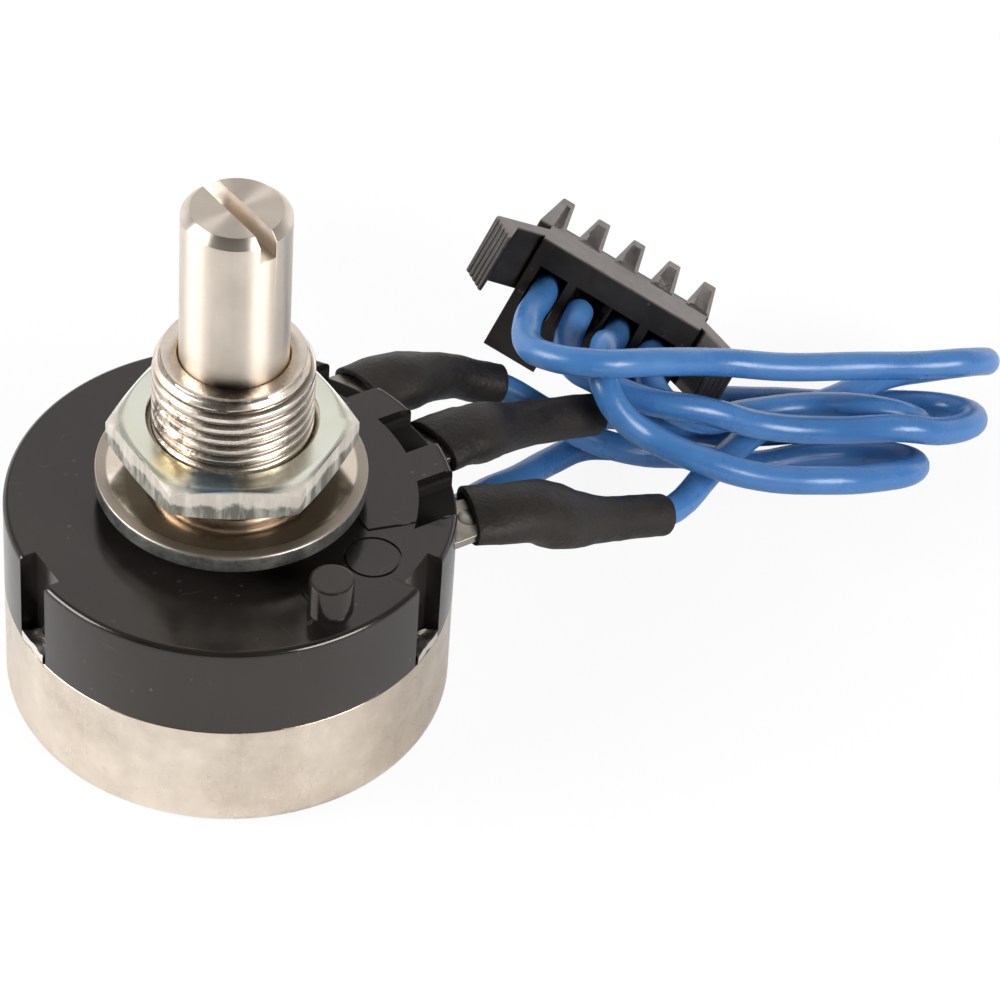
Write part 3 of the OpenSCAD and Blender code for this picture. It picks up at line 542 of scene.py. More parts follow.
def nutZinc():
    # bright zinc: the film shows yellow in places, the top's front carries a painted blue and grey reflection, and
    # the flanks are coarse
    material, tree, shader = newMaterial("nutZinc", Metallic=1.0, Anisotropic=0.3, Anisotropic_Rotation=0.25)
    film = useGroup(tree, "mottle", colour=rgb(0, 0, 0), stain=rgb(1, 1, 1), size=190.0, amount=1.0)
    lines = useGroup(tree, "streaks", stretch=(1.0, 1.0, 0.16), size=1500.0).outputs["Mask"]
    height = useGroup(tree, "axis").outputs["Height"]
    flank = addRange(tree, height, (zinc["flankTop"] + 0.05) * mm, (zinc["flankTop"] - 0.12) * mm)
    ripple = addMath(tree, "MULTIPLY", addMath(tree, "SUBTRACT", addNoise(
        tree, addNode(tree, "ShaderNodeTexCoord").outputs["Object"], 650.0, 4.0), 0.5), 2.0 * mm)
    lower = addRange(tree, addMath(tree, "ADD", height, ripple), (zinc["seam"] + 0.1) * mm,
                     (zinc["seam"] - 0.15) * mm)
    top = mixColour(tree, addRange(tree, film.outputs["Mask"], 0.3, 1.0, 0.0, 0.25), zinc["colour"], zinc["yellow"])
    top = mixColour(tree, addMath(tree, "MULTIPLY", addPatch(tree, zinc["yellowAt"], 1.7), 0.75), top,
                    zinc["yellow"])
    # painted reflection: blue and dark grey patches at the front of the top
    top = mixColour(tree, addPatch(tree, zinc["blueReflectionAt"], 1.9), top, zinc["blue"])
    top = mixColour(tree, addMath(tree, "MULTIPLY", addPatch(tree, zinc["greyReflectionAt"], 1.6), 0.7), top, zinc["dark"])
    side = mixColour(tree, lower, mixColour(tree, 0.6, zinc["colour"], zinc["pink"]), zinc["dark"])
    # the streaks stop at the underside, which the washer mirrors
    marks = addMath(tree, "MULTIPLY", addRange(tree, lines, 0.35, 1.0, 0.0, 0.7),
                    addRange(tree, height, (nutUnder + 0.03) * mm, (nutUnder + 0.15) * mm))
    side = mixColour(tree, marks, side, rgb(0.80, 0.77, 0.70))
    tree.links.new(mixColour(tree, flank, top, side), shader.inputs["Base Color"])
    tree.links.new(addRange(tree, flank, 0.0, 1.0, 1.0, zinc["flankMetal"]), shader.inputs["Metallic"])
    smoothTop = addRange(tree, film.outputs["Mask"], 0.0, 1.0, *zinc["topRoughness"])
    coarse = addRange(tree, lines, 0.0, 1.0, *zinc["flankRoughness"])
    level = addMath(tree, "ADD", smoothTop, addMath(tree, "MULTIPLY", flank,
                                                    addMath(tree, "SUBTRACT", coarse, smoothTop)))
    tree.links.new(level, shader.inputs["Roughness"])
    tree.links.new(bumpFrom(tree, addMath(tree, "MULTIPLY", lines, addRange(tree, flank, 0.0, 1.0, 0.12, 1.0)),
                            0.5, 0.00004), shader.inputs["Normal"])
    tangent = addNode(tree, "ShaderNodeTangent", None, direction_type="RADIAL", axis="Z")
    tree.links.new(tangent.outputs["Tangent"], shader.inputs["Tangent"])
    return material


washerLook = {"face": rgb(0.40, 0.335, 0.28), "shade": rgb(0.33, 0.285, 0.24), "inner": rgb(0.72, 0.62, 0.52),
              "paintedReflectionAt": (-5.4, -2.6, 15.6), "paintedReflection": rgb(0.98, 0.88, 0.76), "orangeSpot": rgb(0.62, 0.36, 0.13),
              "orangeSpotAt": (-2.6, -4.9, 15.6), "edge": rgb(0.30, 0.30, 0.28), "edgeDark": rgb(0.07, 0.065, 0.06),
              "rimFrom": 6.85, "mirror": (0.10, 0.17), "matt": 0.34}


def washerPlate():
    # a brown mirror inside with a painted reflection of the nut's flank, a matt band outside, and a mottled grey edge
    look = washerLook
    material, tree, shader = newMaterial("washerPlate", Metallic=1.0)
    tone = useGroup(tree, "mottle", colour=look["face"], stain=look["shade"], size=160.0, amount=0.8)
    place = useGroup(tree, "axis")
    band = addRange(tree, place.outputs["Radius"], look["rimFrom"] * mm, (look["rimFrom"] + 0.12) * mm)
    edge = addRange(tree, place.outputs["Height"], 15.57 * mm, 15.5 * mm)
    pits = useGroup(tree, "specks", size=1200.0, amount=0.6).outputs["Mask"]
    marks = useGroup(tree, "turning", pitch=0.00009, uneven=0.6).outputs["Mask"]
    grit = useGroup(tree, "mottle", colour=look["edge"], stain=look["edgeDark"], size=700.0, amount=0.9)
    # an orange spot on the face under the nut's front left
    colour = mixColour(tree, addMath(tree, "MULTIPLY", addPatch(tree, look["orangeSpotAt"], 1.1), 0.85),
                       tone.outputs["Colour"], look["orangeSpot"])
    colour = mixColour(tree, addRange(tree, band, 1.0, 0.0, 0.0, 0.75), colour, look["inner"])
    # painted reflection: a bright patch on the inner face, left of the nut, stands in for the nut's flank mirrored
    # there
    paintedReflection = addMath(tree, "MULTIPLY", addPatch(tree, look["paintedReflectionAt"], 2.4), addRange(tree, band, 1.0, 0.0))
    colour = mixColour(tree, paintedReflection, colour, look["paintedReflection"])
    colour = mixColour(tree, pits, colour, rgb(0.14, 0.11, 0.09))
    tree.links.new(mixColour(tree, edge, colour, grit.outputs["Colour"]), shader.inputs["Base Color"])
    mirror = addRange(tree, tone.outputs["Mask"], 0.0, 1.0, *look["mirror"])
    level = addMath(tree, "ADD", mirror, addMath(tree, "MULTIPLY", band, look["matt"] - 0.1))
    level = addMath(tree, "MAXIMUM", level, addMath(tree, "MULTIPLY", edge, 0.45))
    tree.links.new(level, shader.inputs["Roughness"])
    fine = addNoise(tree, addNode(tree, "ShaderNodeTexCoord").outputs["Object"], 4200.0, 3.0)
    relief = addMath(tree, "ADD", addMath(tree, "MULTIPLY", marks, 0.2),
                     addMath(tree, "MULTIPLY", fine, addMath(tree, "MAXIMUM", band, edge)))
    tree.links.new(bumpFrom(tree, relief, 0.25, 0.00003), shader.inputs["Normal"])
    return material


moulding = {"colour": rgb(0.0080, 0.0068, 0.0060), "haze": rgb(0.017, 0.0145, 0.0130), "roughness": (0.10, 0.24),
            "scuff": rgb(0.16, 0.15, 0.14), "sheen": rgb(1.0, 0.92, 0.87),
            "slotTurn": 31.5}


def blackMoulding():
    material, tree, shader = newMaterial("blackMoulding", Specular_Tint=moulding["sheen"])
    tone = useGroup(tree, "mottle", colour=moulding["colour"], stain=moulding["haze"], size=150.0, amount=0.5)
    dust = useGroup(tree, "specks", size=1100.0, amount=0.35).outputs["Mask"]
    rub = useGroup(tree, "streaks", stretch=(1.0, 0.25, 0.6), size=900.0).outputs["Mask"]
    lines = addMath(tree, "MULTIPLY", useGroup(tree, "scuffs", size=260.0, width=0.003).outputs["Mask"], 0.16)
    colour = mixColour(tree, dust, tone.outputs["Colour"], rgb(0.20, 0.18, 0.16))
    colour = mixColour(tree, lines, colour, moulding["scuff"])
    # painted shade: the slots over the tabs are painted near black and rough inside
    place = useGroup(tree, "axis")
    turn = math.radians(moulding["slotTurn"])
    outward = addNode(tree, "ShaderNodeVectorMath", {
        0: addNode(tree, "ShaderNodeTexCoord").outputs["Object"], 1: (math.cos(turn), math.sin(turn), 0.0)},
        operation="DOT_PRODUCT").outputs["Value"]
    inside = addMath(tree, "MULTIPLY", addRange(tree, outward, 8.2 * mm, 8.4 * mm),
                     addRange(tree, place.outputs["Height"], 13.1 * mm, 12.5 * mm))
    inside = addMath(tree, "MULTIPLY", inside, addRange(tree, place.outputs["Radius"], 12.58 * mm, 12.5 * mm))
    tree.links.new(mixColour(tree, inside, colour, rgb(0.0015, 0.0013, 0.0012)), shader.inputs["Base Color"])
    haze = addMath(tree, "ADD", addMath(tree, "MULTIPLY", tone.outputs["Mask"], 0.6),
                   addMath(tree, "MULTIPLY", rub, 0.4))
    gloss = addRange(tree, haze, 0.0, 1.0, *moulding["roughness"])
    gloss = addMath(tree, "MAXIMUM", gloss, inside)
    tree.links.new(gloss, shader.inputs["Roughness"])
    waves = addNoise(tree, addNode(tree, "ShaderNodeTexCoord").outputs["Object"], 420.0, 3.0)
    tree.links.new(bumpFrom(tree, waves, 0.12, 0.0001), shader.inputs["Normal"])
    return material


cupPlate = {"colour": rgb(0.75, 0.66, 0.56), "stain": rgb(0.56, 0.48, 0.395), "smudge": rgb(0.42, 0.345, 0.28),
            "roughness": (0.18, 0.33), "bare": rgb(0.80, 0.76, 0.70), "lip": rgb(0.24, 0.18, 0.13)}


def satinCup():
    # thin nickel over drawn steel: cloudy, with faint draw lines down the wall
    material, tree, shader = newMaterial("satinCup", Metallic=1.0, Anisotropic=0.7, Anisotropic_Rotation=0.25)
    cloud = useGroup(tree, "mottle", colour=cupPlate["colour"], stain=cupPlate["stain"], size=230.0, amount=0.75)
    grain = useGroup(tree, "streaks", stretch=(1.0, 1.0, 0.16), size=1300.0).outputs["Mask"]
    pits = useGroup(tree, "specks", size=950.0, amount=0.5).outputs["Mask"]
    colour = mixColour(tree, addMath(tree, "MULTIPLY", grain, 0.22), cloud.outputs["Colour"], rgb(0.86, 0.80, 0.72))
    smudge = useGroup(tree, "mottle", colour=rgb(0, 0, 0), stain=rgb(1, 1, 1), size=95.0, amount=1.0)
    colour = mixColour(tree, addRange(tree, smudge.outputs["Mask"], 0.35, 1.0, 0.0, 0.5), colour, cupPlate["smudge"])
    colour = mixColour(tree, pits, colour, rgb(0.22, 0.18, 0.14))
    # the struck edge in the notches is bare, and the lip under the moulding is brown
    height = useGroup(tree, "axis").outputs["Height"]
    colour = mixColour(tree, addRange(tree, height, 7.24 * mm, 7.30 * mm, 0.0, 0.75), colour, cupPlate["lip"])
    struck = addRange(tree, height, 7.37 * mm, 7.42 * mm)
    tree.links.new(mixColour(tree, struck, colour, cupPlate["bare"]), shader.inputs["Base Color"])
    wear = addMath(tree, "ADD", addMath(tree, "MULTIPLY", cloud.outputs["Mask"], 0.6),
                   addMath(tree, "MULTIPLY", grain, 0.4))
    tree.links.new(addRange(tree, wear, 0.0, 1.0, *cupPlate["roughness"]), shader.inputs["Roughness"])
    tree.links.new(bumpFrom(tree, wear, 0.3, 0.00004), shader.inputs["Normal"])
    tangent = addNode(tree, "ShaderNodeTangent", None, direction_type="RADIAL", axis="Z")
    tree.links.new(tangent.outputs["Tangent"], shader.inputs["Tangent"])
    return material


def tinPlate():
    material, tree, shader = newMaterial("tinPlate", Metallic=1.0)
    tone = useGroup(tree, "mottle", colour=rgb(0.36, 0.33, 0.29), stain=rgb(0.24, 0.21, 0.18), size=380.0, amount=0.8)
    tree.links.new(tone.outputs["Colour"], shader.inputs["Base Color"])
    tree.links.new(addRange(tree, tone.outputs["Mask"], 0.0, 1.0, 0.3, 0.5), shader.inputs["Roughness"])
    tree.links.new(bumpFrom(tree, tone.outputs["Mask"], 0.2, 0.00004), shader.inputs["Normal"])
    return material


def plainMetal(name, colour, stain, roughness):
    material, tree, shader = newMaterial(name, Metallic=1.0)
    tone = useGroup(tree, "mottle", colour=colour, stain=stain, size=520.0, amount=0.7)
    tree.links.new(tone.outputs["Colour"], shader.inputs["Base Color"])
    tree.links.new(addRange(tree, tone.outputs["Mask"], 0.0, 1.0, roughness, roughness + 0.15),
                   shader.inputs["Roughness"])
    return material


sleeving = {"colour": rgb(0.0085, 0.0072, 0.0064), "worn": rgb(0.021, 0.0180, 0.0158)}


def softSleeving():
    material, tree, shader = newMaterial("softSleeving", Specular_IOR_Level=0.27, Specular_Tint=moulding["sheen"])
    tone = useGroup(tree, "mottle", colour=sleeving["colour"], stain=sleeving["worn"], size=330.0, amount=0.8)
    lint = useGroup(tree, "specks", size=1500.0, amount=0.35).outputs["Mask"]
    tree.links.new(mixColour(tree, lint, tone.outputs["Colour"], rgb(0.14, 0.12, 0.11)), shader.inputs["Base Color"])
    tree.links.new(addRange(tree, tone.outputs["Mask"], 0.0, 1.0, 0.42, 0.62), shader.inputs["Roughness"])
    place = addNode(tree, "ShaderNodeTexCoord").outputs["Object"]
    skin = addMath(tree, "ADD", addNoise(tree, place, 3600.0, 4.0), addNoise(tree, place, 520.0, 2.0))
    tree.links.new(bumpFrom(tree, skin, 0.6, 0.0001), shader.inputs["Normal"])
    return material


insulation = {"colour": rgb(0.036, 0.135, 0.345), "pale": rgb(0.060, 0.180, 0.415), "soil": rgb(0.030, 0.060, 0.12)}


def blueInsulation():
    material, tree, shader = newMaterial("blueInsulation", Specular_IOR_Level=0.45, Coat_Roughness=0.35)
    tone = useGroup(tree, "mottle", colour=insulation["colour"], stain=insulation["pale"], size=210.0, amount=0.8)
    soil = useGroup(tree, "specks", size=1500.0, amount=0.4).outputs["Mask"]
    tree.links.new(mixColour(tree, soil, tone.outputs["Colour"], insulation["soil"]), shader.inputs["Base Color"])
    tree.links.new(addRange(tree, tone.outputs["Mask"], 0.0, 1.0, 0.24, 0.34), shader.inputs["Roughness"])
    place = addNode(tree, "ShaderNodeTexCoord").outputs["Object"]
    skin = addMath(tree, "ADD", addNoise(tree, place, 900.0, 4.0),
                   addMath(tree, "MULTIPLY", addNoise(tree, place, 6500.0, 2.0), 0.35))
    tree.links.new(bumpFrom(tree, skin, 0.3, 0.00006), shader.inputs["Normal"])
    return material


# the connector's corner in millimetres and its tilt in degrees
connectorPlace = {"corner": (17.4, 24.5, 12.6), "tilt": (-24, 19, -21), "firstWay": 1.6, "pitch": 2.5,
                  "wayLevel": -3.1, "way": (1.86, 0.2, 2.3), "webDepth": 2.6}


def connectorTurn():
    tilt = [math.radians(a) for a in connectorPlace["tilt"]]
    return Matrix.Rotation(tilt[2], 4, "Z") @ Matrix.Rotation(tilt[1], 4, "Y") @ Matrix.Rotation(tilt[0], 4, "X")


def placeOnConnector(obj):
    obj.data.transform(Matrix.Translation([c * mm for c in connectorPlace["corner"]]) @ connectorTurn())


def connectorMoulding():
    # matt moulding: the top face is painted a lighter brownish grey, partly rubbed wear and partly painted light from
    # above; the rear face stays black
    material, tree, shader = newMaterial("connectorMoulding", Specular_Tint=moulding["sheen"])
    tone = useGroup(tree, "mottle", colour=rgb(0.0085, 0.0075, 0.0068), stain=rgb(0.018, 0.0155, 0.0140), size=300.0,
                    amount=0.8)
    dust = useGroup(tree, "specks", size=1300.0, amount=0.5).outputs["Mask"]
    colour = mixColour(tree, dust, tone.outputs["Colour"], rgb(0.25, 0.22, 0.19))
    upward = connectorTurn() @ Vector((0, 0, 1))
    offset = sum(a * b for a, b in zip(upward, connectorPlace["corner"])) * mm
    level = addNode(tree, "ShaderNodeVectorMath", {
        0: addNode(tree, "ShaderNodeTexCoord").outputs["Object"], 1: tuple(upward)}, operation="DOT_PRODUCT")
    top = addRange(tree, level.outputs["Value"], offset - 0.14 * mm, offset - 0.05 * mm)
    grain = useGroup(tree, "streaks", stretch=(1.0, 0.6, 1.0), size=1700.0).outputs["Mask"]
    # the top face's lighter colour: rubbed wear and painted light from above
    rubbedAndLitTop = addMath(tree, "MULTIPLY", top, addRange(tree, grain, 0.0, 1.0, 0.55, 1.0))
    tree.links.new(mixColour(tree, rubbedAndLitTop, colour, rgb(0.125, 0.100, 0.088)), shader.inputs["Base Color"])
    tree.links.new(addRange(tree, tone.outputs["Mask"], 0.0, 1.0, 0.34, 0.46), shader.inputs["Roughness"])
    skin = addNoise(tree, addNode(tree, "ShaderNodeTexCoord").outputs["Object"], 3200.0, 3.0)
    tree.links.new(bumpFrom(tree, skin, 0.3, 0.00003), shader.inputs["Normal"])
    return material


def plainPlastic(name, colour, stain, roughness):
    material, tree, shader = newMaterial(name)
    tone = useGroup(tree, "mottle", colour=colour, stain=stain, size=300.0, amount=0.6)
    tree.links.new(tone.outputs["Colour"], shader.inputs["Base Color"])
    tree.links.new(addRange(tree, tone.outputs["Mask"], 0.0, 1.0, roughness, roughness + 0.12),
                   shader.inputs["Roughness"])
    return material


finishes = {
    "shaft": shaftNickel(),
    "bushing": bushingNickel(),
    "nut": nutZinc(),
    "thinZinc": plainMetal("flatZinc", zinc["colour"], rgb(0.5, 0.5, 0.46), 0.3),
    "washer": washerPlate(),
    "housing": blackMoulding(),
    "cup": satinCup(),
    "terminal": tinPlate(),
    "solder": plainMetal("brightSolder", rgb(0.66, 0.66, 0.65), rgb(0.5, 0.5, 0.49), 0.22),
    "bronze": plainMetal("springBronze", rgb(0.78, 0.60, 0.36), rgb(0.62, 0.45, 0.24), 0.25),
    "steel": plainMetal("springSteel", rgb(0.34, 0.34, 0.35), rgb(0.22, 0.21, 0.2), 0.3),
    "contact": plainMetal("tinnedContact", rgb(0.22, 0.20, 0.17), rgb(0.14, 0.13, 0.11), 0.4),
    "sleeve": softSleeving(),
    "wire": blueInsulation(),
    "connector": connectorMoulding(),
    "nylon": plainPlastic("nylonRotor", rgb(0.74, 0.70, 0.60), rgb(0.66, 0.61, 0.5), 0.4),
    "card": plainPlastic("cardBoard", rgb(0.30, 0.19, 0.10), rgb(0.2, 0.12, 0.06), 0.5),
}
print("finishes made:", len(finishes))

# Shaft: turned bar with a chamfer and a screwdriver slot

shaftSizes = {"radius": 3.0, "foot": 4.65, "top": 33.8, "chamfer": 0.5, "slotWidth": 1.0, "slotDepth": 1.5,
              "slotTurn": -53, "edge": 0.035}


def makeShaft():
    s = shaftSizes
    r = s["radius"]
    obj = turned("shaftBar", [(r - 0.2, s["foot"]), (r - 0.2, 5.25), (r - 0.5, 5.25), (r - 0.5, 8.45), (r, 8.45),
                              (r, 8.65), (r - 0.6, 8.65), (r - 0.6, 9.25), (r, 9.25), (r, 16.0), (r, 22.5),
                              (r - 0.2, 22.5), (r - 0.2, 23.0), (r, 23.0), (r, 26.0),
                              (r, s["top"] - s["chamfer"]), (r - s["chamfer"], s["top"])], 160)
    slot = block("slotCutter", (8, s["slotWidth"], 2 * s["slotDepth"]), (0, 0, s["top"]), s["slotTurn"])
    combine(obj, slot, "DIFFERENCE")
    softEdges(obj, s["edge"] * mm, 2, 28)
    smooth(obj)
    dress(obj, finishes["shaft"], "turning", "nickel_plate", "shaft")


makeShaft()
print("shaft made")


# Bushing: the thread is cut into a turned wall that has many rows

def threadDepth(x, y, z):
    s = bushingSizes
    turn = (z - s["threadStart"]) / s["pitch"] - math.atan2(y, x) / (2 * math.pi)
    phase = turn - math.floor(turn)
    groove = max(0.0, 1 - abs(phase - 0.5) / (s["groove"] / 2))
    fade = min(1.0, max(0.0, (z - s["threadFrom"]) / 0.5))
    return s["depth"] * min(1.0, groove * 1.2) * fade


def makeBushing():
    s = bushingSizes
    r = s["radius"]
    collarR, collarLow, collarHigh = s["collar"]
    wallTop = s["top"] - s["lead"]
    step = s["pitch"] / s["rows"]
    count = int((wallTop - s["threadFrom"]) / step)
    rows = [(r, s["threadFrom"] + i * step) for i in range(count)]
    rows += [(r - s["chamfer"] * i / 16, wallTop + s["lead"] * i / 16) for i in range(17)]
    profile = [(s["bore"], s["foot"]), (r, s["foot"]), (r, collarLow), (collarR, collarLow), (collarR, collarHigh),
               (r, collarHigh)] + rows + [(s["bore"] + 0.15, s["top"]), (s["bore"], s["top"] - 0.15),
                                          (s["bore"], s["foot"])]
    obj = turned("threadedBushing", profile, 160, closed=True)
    for vertex in obj.data.vertices:
        x, y, z = (c / mm for c in vertex.co)
        radius = math.hypot(x, y)
        if z > s["threadFrom"] - 0.01 and radius > r - s["chamfer"] - 0.01:
            cut = min(threadDepth(x, y, z), max(0.0, radius - (r - s["chamfer"]))) if z > wallTop \
                else threadDepth(x, y, z)
            scale = (radius - cut) / radius
            vertex.co.x *= scale
            vertex.co.y *= scale
    smooth(obj, 50, flat=False)
    dress(obj, finishes["bushing"], "base", "nickel_plate", "bushing")


makeBushing()
print("bushing made")


# Washer and nut

washerSizes = {"bore": 4.48, "radius": 7.55, "low": 14.5, "high": 15.6, "round": 0.14}


def makeWasher():
    s = washerSizes
    rim = s["radius"]
    top = arcPoints(rim - s["round"], s["high"] - s["round"], s["round"], 0, 90, 6)
    profile = [(s["bore"], s["low"]), (rim - 0.12, s["low"]), (rim, s["low"] + 0.12)] + top \
        + [(s["bore"], s["high"]), (s["bore"], s["low"])]
    obj = turned("flatWasher", profile, 192, closed=True)
    smooth(obj)
    dress(obj, finishes["washer"], "base", "washer_plate", "washer")


nutSizes = {"flats": 12.0, "thick": 2.25, "low": nutUnder, "bore": 4.48, "turn": 4, "cone": 23, "flat": 5.75,
            "edge": 0.04}


def makeNut():
    s = nutSizes
    corner = s["flats"] / math.sqrt(3)
    flat = s["flat"]
    drop = (corner - flat) * math.tan(math.radians(s["cone"]))
    low, high = s["low"], s["low"] + s["thick"]
    deselectAll()
    bpy.ops.mesh.primitive_cylinder_add(vertices=6, radius=corner * mm, depth=s["thick"] * mm,
                                        location=(0, 0, (low + high) / 2 * mm),
                                        rotation=(0, 0, math.radians(s["turn"] + 30)))
    obj = bpy.context.object
    obj.name = obj.data.name = "hexNut"
    settle(obj)
    cone = turned("nutCone", [(flat, low), (corner, low + drop), (corner, high - drop), (flat, high)], 144)
    combine(obj, cone, "INTERSECT")
    bore = turned("nutBore", [(s["bore"] + 0.3, low - 0.01), (s["bore"], low + 0.3), (s["bore"], high - 0.3),
                              (s["bore"] + 0.3, high + 0.01)], 144)
    combine(obj, bore, "DIFFERENCE")
    softEdges(obj, s["edge"] * mm, 2, 25)
    smooth(obj)
    dress(obj, finishes["nut"], "base", "zinc_plate", "hex_nut")


makeWasher()
makeNut()
print("washer and nut made")


# Housing: turned moulding with a neck, a peg, a raised deck, slots and notches

housingSizes = {
    "radius": 12.6, "top": 13.3, "rim": 7.35, "round": 0.35, "neckRadius": 5.9, "neckTop": 14.5,
    "bore": 4.47, "skirtRadius": 12.18, "skirtFoot": 2.2, "cavityRadius": 10.88, "roof": 10.6,
    "notches": (93.5, 213.5, -26.5), "notchWidth": 2.7, "notchDepth": 1.0,
    "pegTurn": -56, "pegAt": 10.4, "pegRadius": 1.25, "pegTop": 15.5,
    "deckTurn": 31.5, "deckRise": 0.1, "pitch": 6.2, "slots": (-5.5, 0.0, 5.6), "slotWidth": 3.2, "slotFloor": 12.05, "rimInner": 10.4,
    "tabWidth": 3.04, "tabLow": 11.15, "tabTop": 11.67, "markAt": 9.15, "markTurn": -29.4, "markInner": 1.46,
    "markOuter": 1.62, "edge": 0.07,
}


def turnDegrees(obj, degrees):
    obj.data.transform(Matrix.Rotation(math.radians(degrees), 4, "Z"))


def makeDeck():
    s = housingSizes
    deck = block("deck", (7.4, 16, s["deckRise"] + 0.5), (9.0, 0, s["top"] + (s["deckRise"] - 0.5) / 2))
    for vertex in deck.data.vertices:
        vertex.co.y = math.copysign((8.0 if vertex.co.x > 9 * mm else 6.0) * mm, vertex.co.y)
    turnDegrees(deck, s["deckTurn"])
    limit = turned("deckLimit", [(s["radius"] - 0.45, s["top"] - 1), (s["radius"] - 0.45, s["top"] + 1)], 160)
    combine(deck, limit, "INTERSECT")
    return deck


def makeHousing():
    s = housingSizes
    r, top, neck = s["radius"], s["top"], s["neckRadius"]
    profile = [(s["bore"], s["roof"]), (s["cavityRadius"], s["roof"]), (s["cavityRadius"], s["skirtFoot"]),
               (s["skirtRadius"], s["skirtFoot"]), (s["skirtRadius"], s["rim"]), (r, s["rim"])]
    profile += arcPoints(r - s["round"], top - s["round"], s["round"], 0, 90, 6)
    profile += [(neck + 0.2, top), (neck, top + 0.2), (neck, s["neckTop"] - 0.1), (neck - 0.1, s["neckTop"]),
                (s["bore"], s["neckTop"]), (s["bore"], s["roof"])]
    obj = turned("housingShell", profile, 192, closed=True)
    peg = turned("peg", [(s["pegRadius"], top - 0.5), (s["pegRadius"], s["pegTop"] - 0.2),
                         (s["pegRadius"] - 0.06, s["pegTop"] - 0.06), (s["pegRadius"] - 0.2, s["pegTop"])], 48)
    peg.data.transform(Matrix.Translation((s["pegAt"] * mm, 0, 0)))
    turnDegrees(peg, s["pegTurn"])
    combine(obj, peg, "UNION")
    combine(obj, makeDeck(), "UNION")
    for side, v in zip((-1, 0, 1), s["slots"]):
        slot = block("slotCutter", (14, s["slotWidth"], 4), (7, v, s["slotFloor"] + 2))
        core = turned("slotLimit", [(s["rimInner"], 10), (s["rimInner"], 18)], 128)
        combine(slot, core, "DIFFERENCE")
        turnDegrees(slot, s["deckTurn"])
        combine(obj, slot, "DIFFERENCE")
        tunnel = block("tunnelCutter", (5, s["tabWidth"], s["tabTop"] - s["tabLow"]),
                       (10.5, side * s["pitch"], (s["tabTop"] + s["tabLow"]) / 2), s["deckTurn"])
        combine(obj, tunnel, "DIFFERENCE")
    for turn in s["notches"]:
        notch = block("notchCutter", (s["notchDepth"] + 2, s["notchWidth"], 10),
                      (r - s["notchDepth"] + (s["notchDepth"] + 2) / 2, 0, s["rim"] + 5.02), turn)
        combine(obj, notch, "DIFFERENCE")
    softEdges(obj, s["edge"] * mm, 2, 35)
    inner, outer = s["markInner"], s["markOuter"]
    ring = turned("markRing", [(inner, top - 0.1), (outer, top - 0.1), (outer, top + 1), (inner, top + 1),
                               (inner, top - 0.1)], 72, closed=True)
    ring.data.transform(Matrix.Translation((s["markAt"] * mm, 0, 0)))
    turnDegrees(ring, s["markTurn"])
    combine(obj, ring, "DIFFERENCE")
    smooth(obj, 40)
    dress(obj, finishes["housing"], "base", "black_moulding", "housing")


makeHousing()
print("housing made")


# Rear cover: drawn cup whose edge is staked into the three notches

cupSizes = {"radius": 12.6, "height": 7.35, "bend": 0.9, "sheet": 0.4, "stakeWidth": 2.3}


def makeStake(turn, seed):
    # a bit of the rim that was struck into the notch: rough and bright
    stake = block("stake", (0.92, cupSizes["stakeWidth"], 0.95), (12.13, 0, 7.48))
    editOperator(stake, (bpy.ops.mesh.subdivide, {"number_cuts": 9}))
    for vertex in stake.data.vertices:
        inward = max(0.0, (12.5 * mm - vertex.co.x) / (0.9 * mm))
        rough = noise.noise_vector(vertex.co * 1900 + Vector((seed, seed, 0)))
        vertex.co += rough * 0.00019 * (0.4 + inward)
        vertex.co.z -= inward * 0.00015
        vertex.co.y *= 1 - 0.25 * inward
        vertex.co.x = min(vertex.co.x, 12.62 * mm)
    turnDegrees(stake, turn)
    return stake


def makeCup():
    s = cupSizes
    r, bend, sheet = s["radius"], s["bend"], s["sheet"]
    profile = [(0.02, 0.0)] + arcPoints(r - bend, bend, bend, -90, 0, 10) \
        + [(r, 3.0), (r, 5.4), (r, s["height"] - 0.06), (r - 0.06, s["height"]), (r - sheet, s["height"])] \
        + arcPoints(r - bend, bend, bend - sheet, 0, -90, 8) + [(0.02, sheet)]
    obj = turned("rearCup", profile, 192)
    for number, turn in enumerate(housingSizes["notches"]):
        stake = makeStake(turn, number * 7.3)
        activate(obj)
        stake.select_set(True)
        bpy.ops.object.join()
    smooth(obj, 40)
    dress(obj, finishes["cup"], "base", "cover_plate", "rear_cover")


makeCup()
print("rear cup made")


# Sleeves: soft tubes that bulge over the soldered tabs; rows of place, width and height in millimetres

sleeveRows = {
    "sleeve1": [[6.9, 11.2, 11.4, 4.4, 2.3], [7.8, 12.1, 11.2, 4.2, 2.7], [9.1, 13, 10.8, 4, 3.2],
                [10.3, 14.2, 10.1, 3.4, 3], [12.1, 15.7, 9, 2.7, 2.7], [13.6, 16.4, 8.1, 2.6, 2.6],
                [14.9, 16.9, 7.4, 2.6, 2.6]],
    "sleeve2": [[11.1, 6.8, 11.4, 4.4, 2.3], [12.2, 7.8, 11.2, 4.2, 2.7], [13.4, 8.8, 10.7, 4, 3.2],
                [14.2, 10, 10, 3.8, 3.3], [15.6, 11.4, 9.1, 3, 2.9], [18, 13.6, 7.8, 2.7, 2.7],
                [20.7, 15.7, 6.5, 2.6, 2.6]],
    "sleeve3": [[13.2, 1.2, 11.4, 4.4, 2.3], [15, 1.8, 11.1, 4.2, 2.8], [16.8, 3, 10.3, 4.2, 3.4],
                [18.1, 3.9, 9.2, 4.2, 3.8], [19.4, 4.8, 8.2, 3.5, 3.3], [20.9, 5.9, 7.2, 2.8, 2.8],
                [22.8, 7.4, 6.1, 2.6, 2.6], [24.7, 8.8, 5.1, 2.6, 2.6]],
}
sleeveLook = {"sides": 28, "steps": 5, "wall": 0.4, "dent": 0.07}


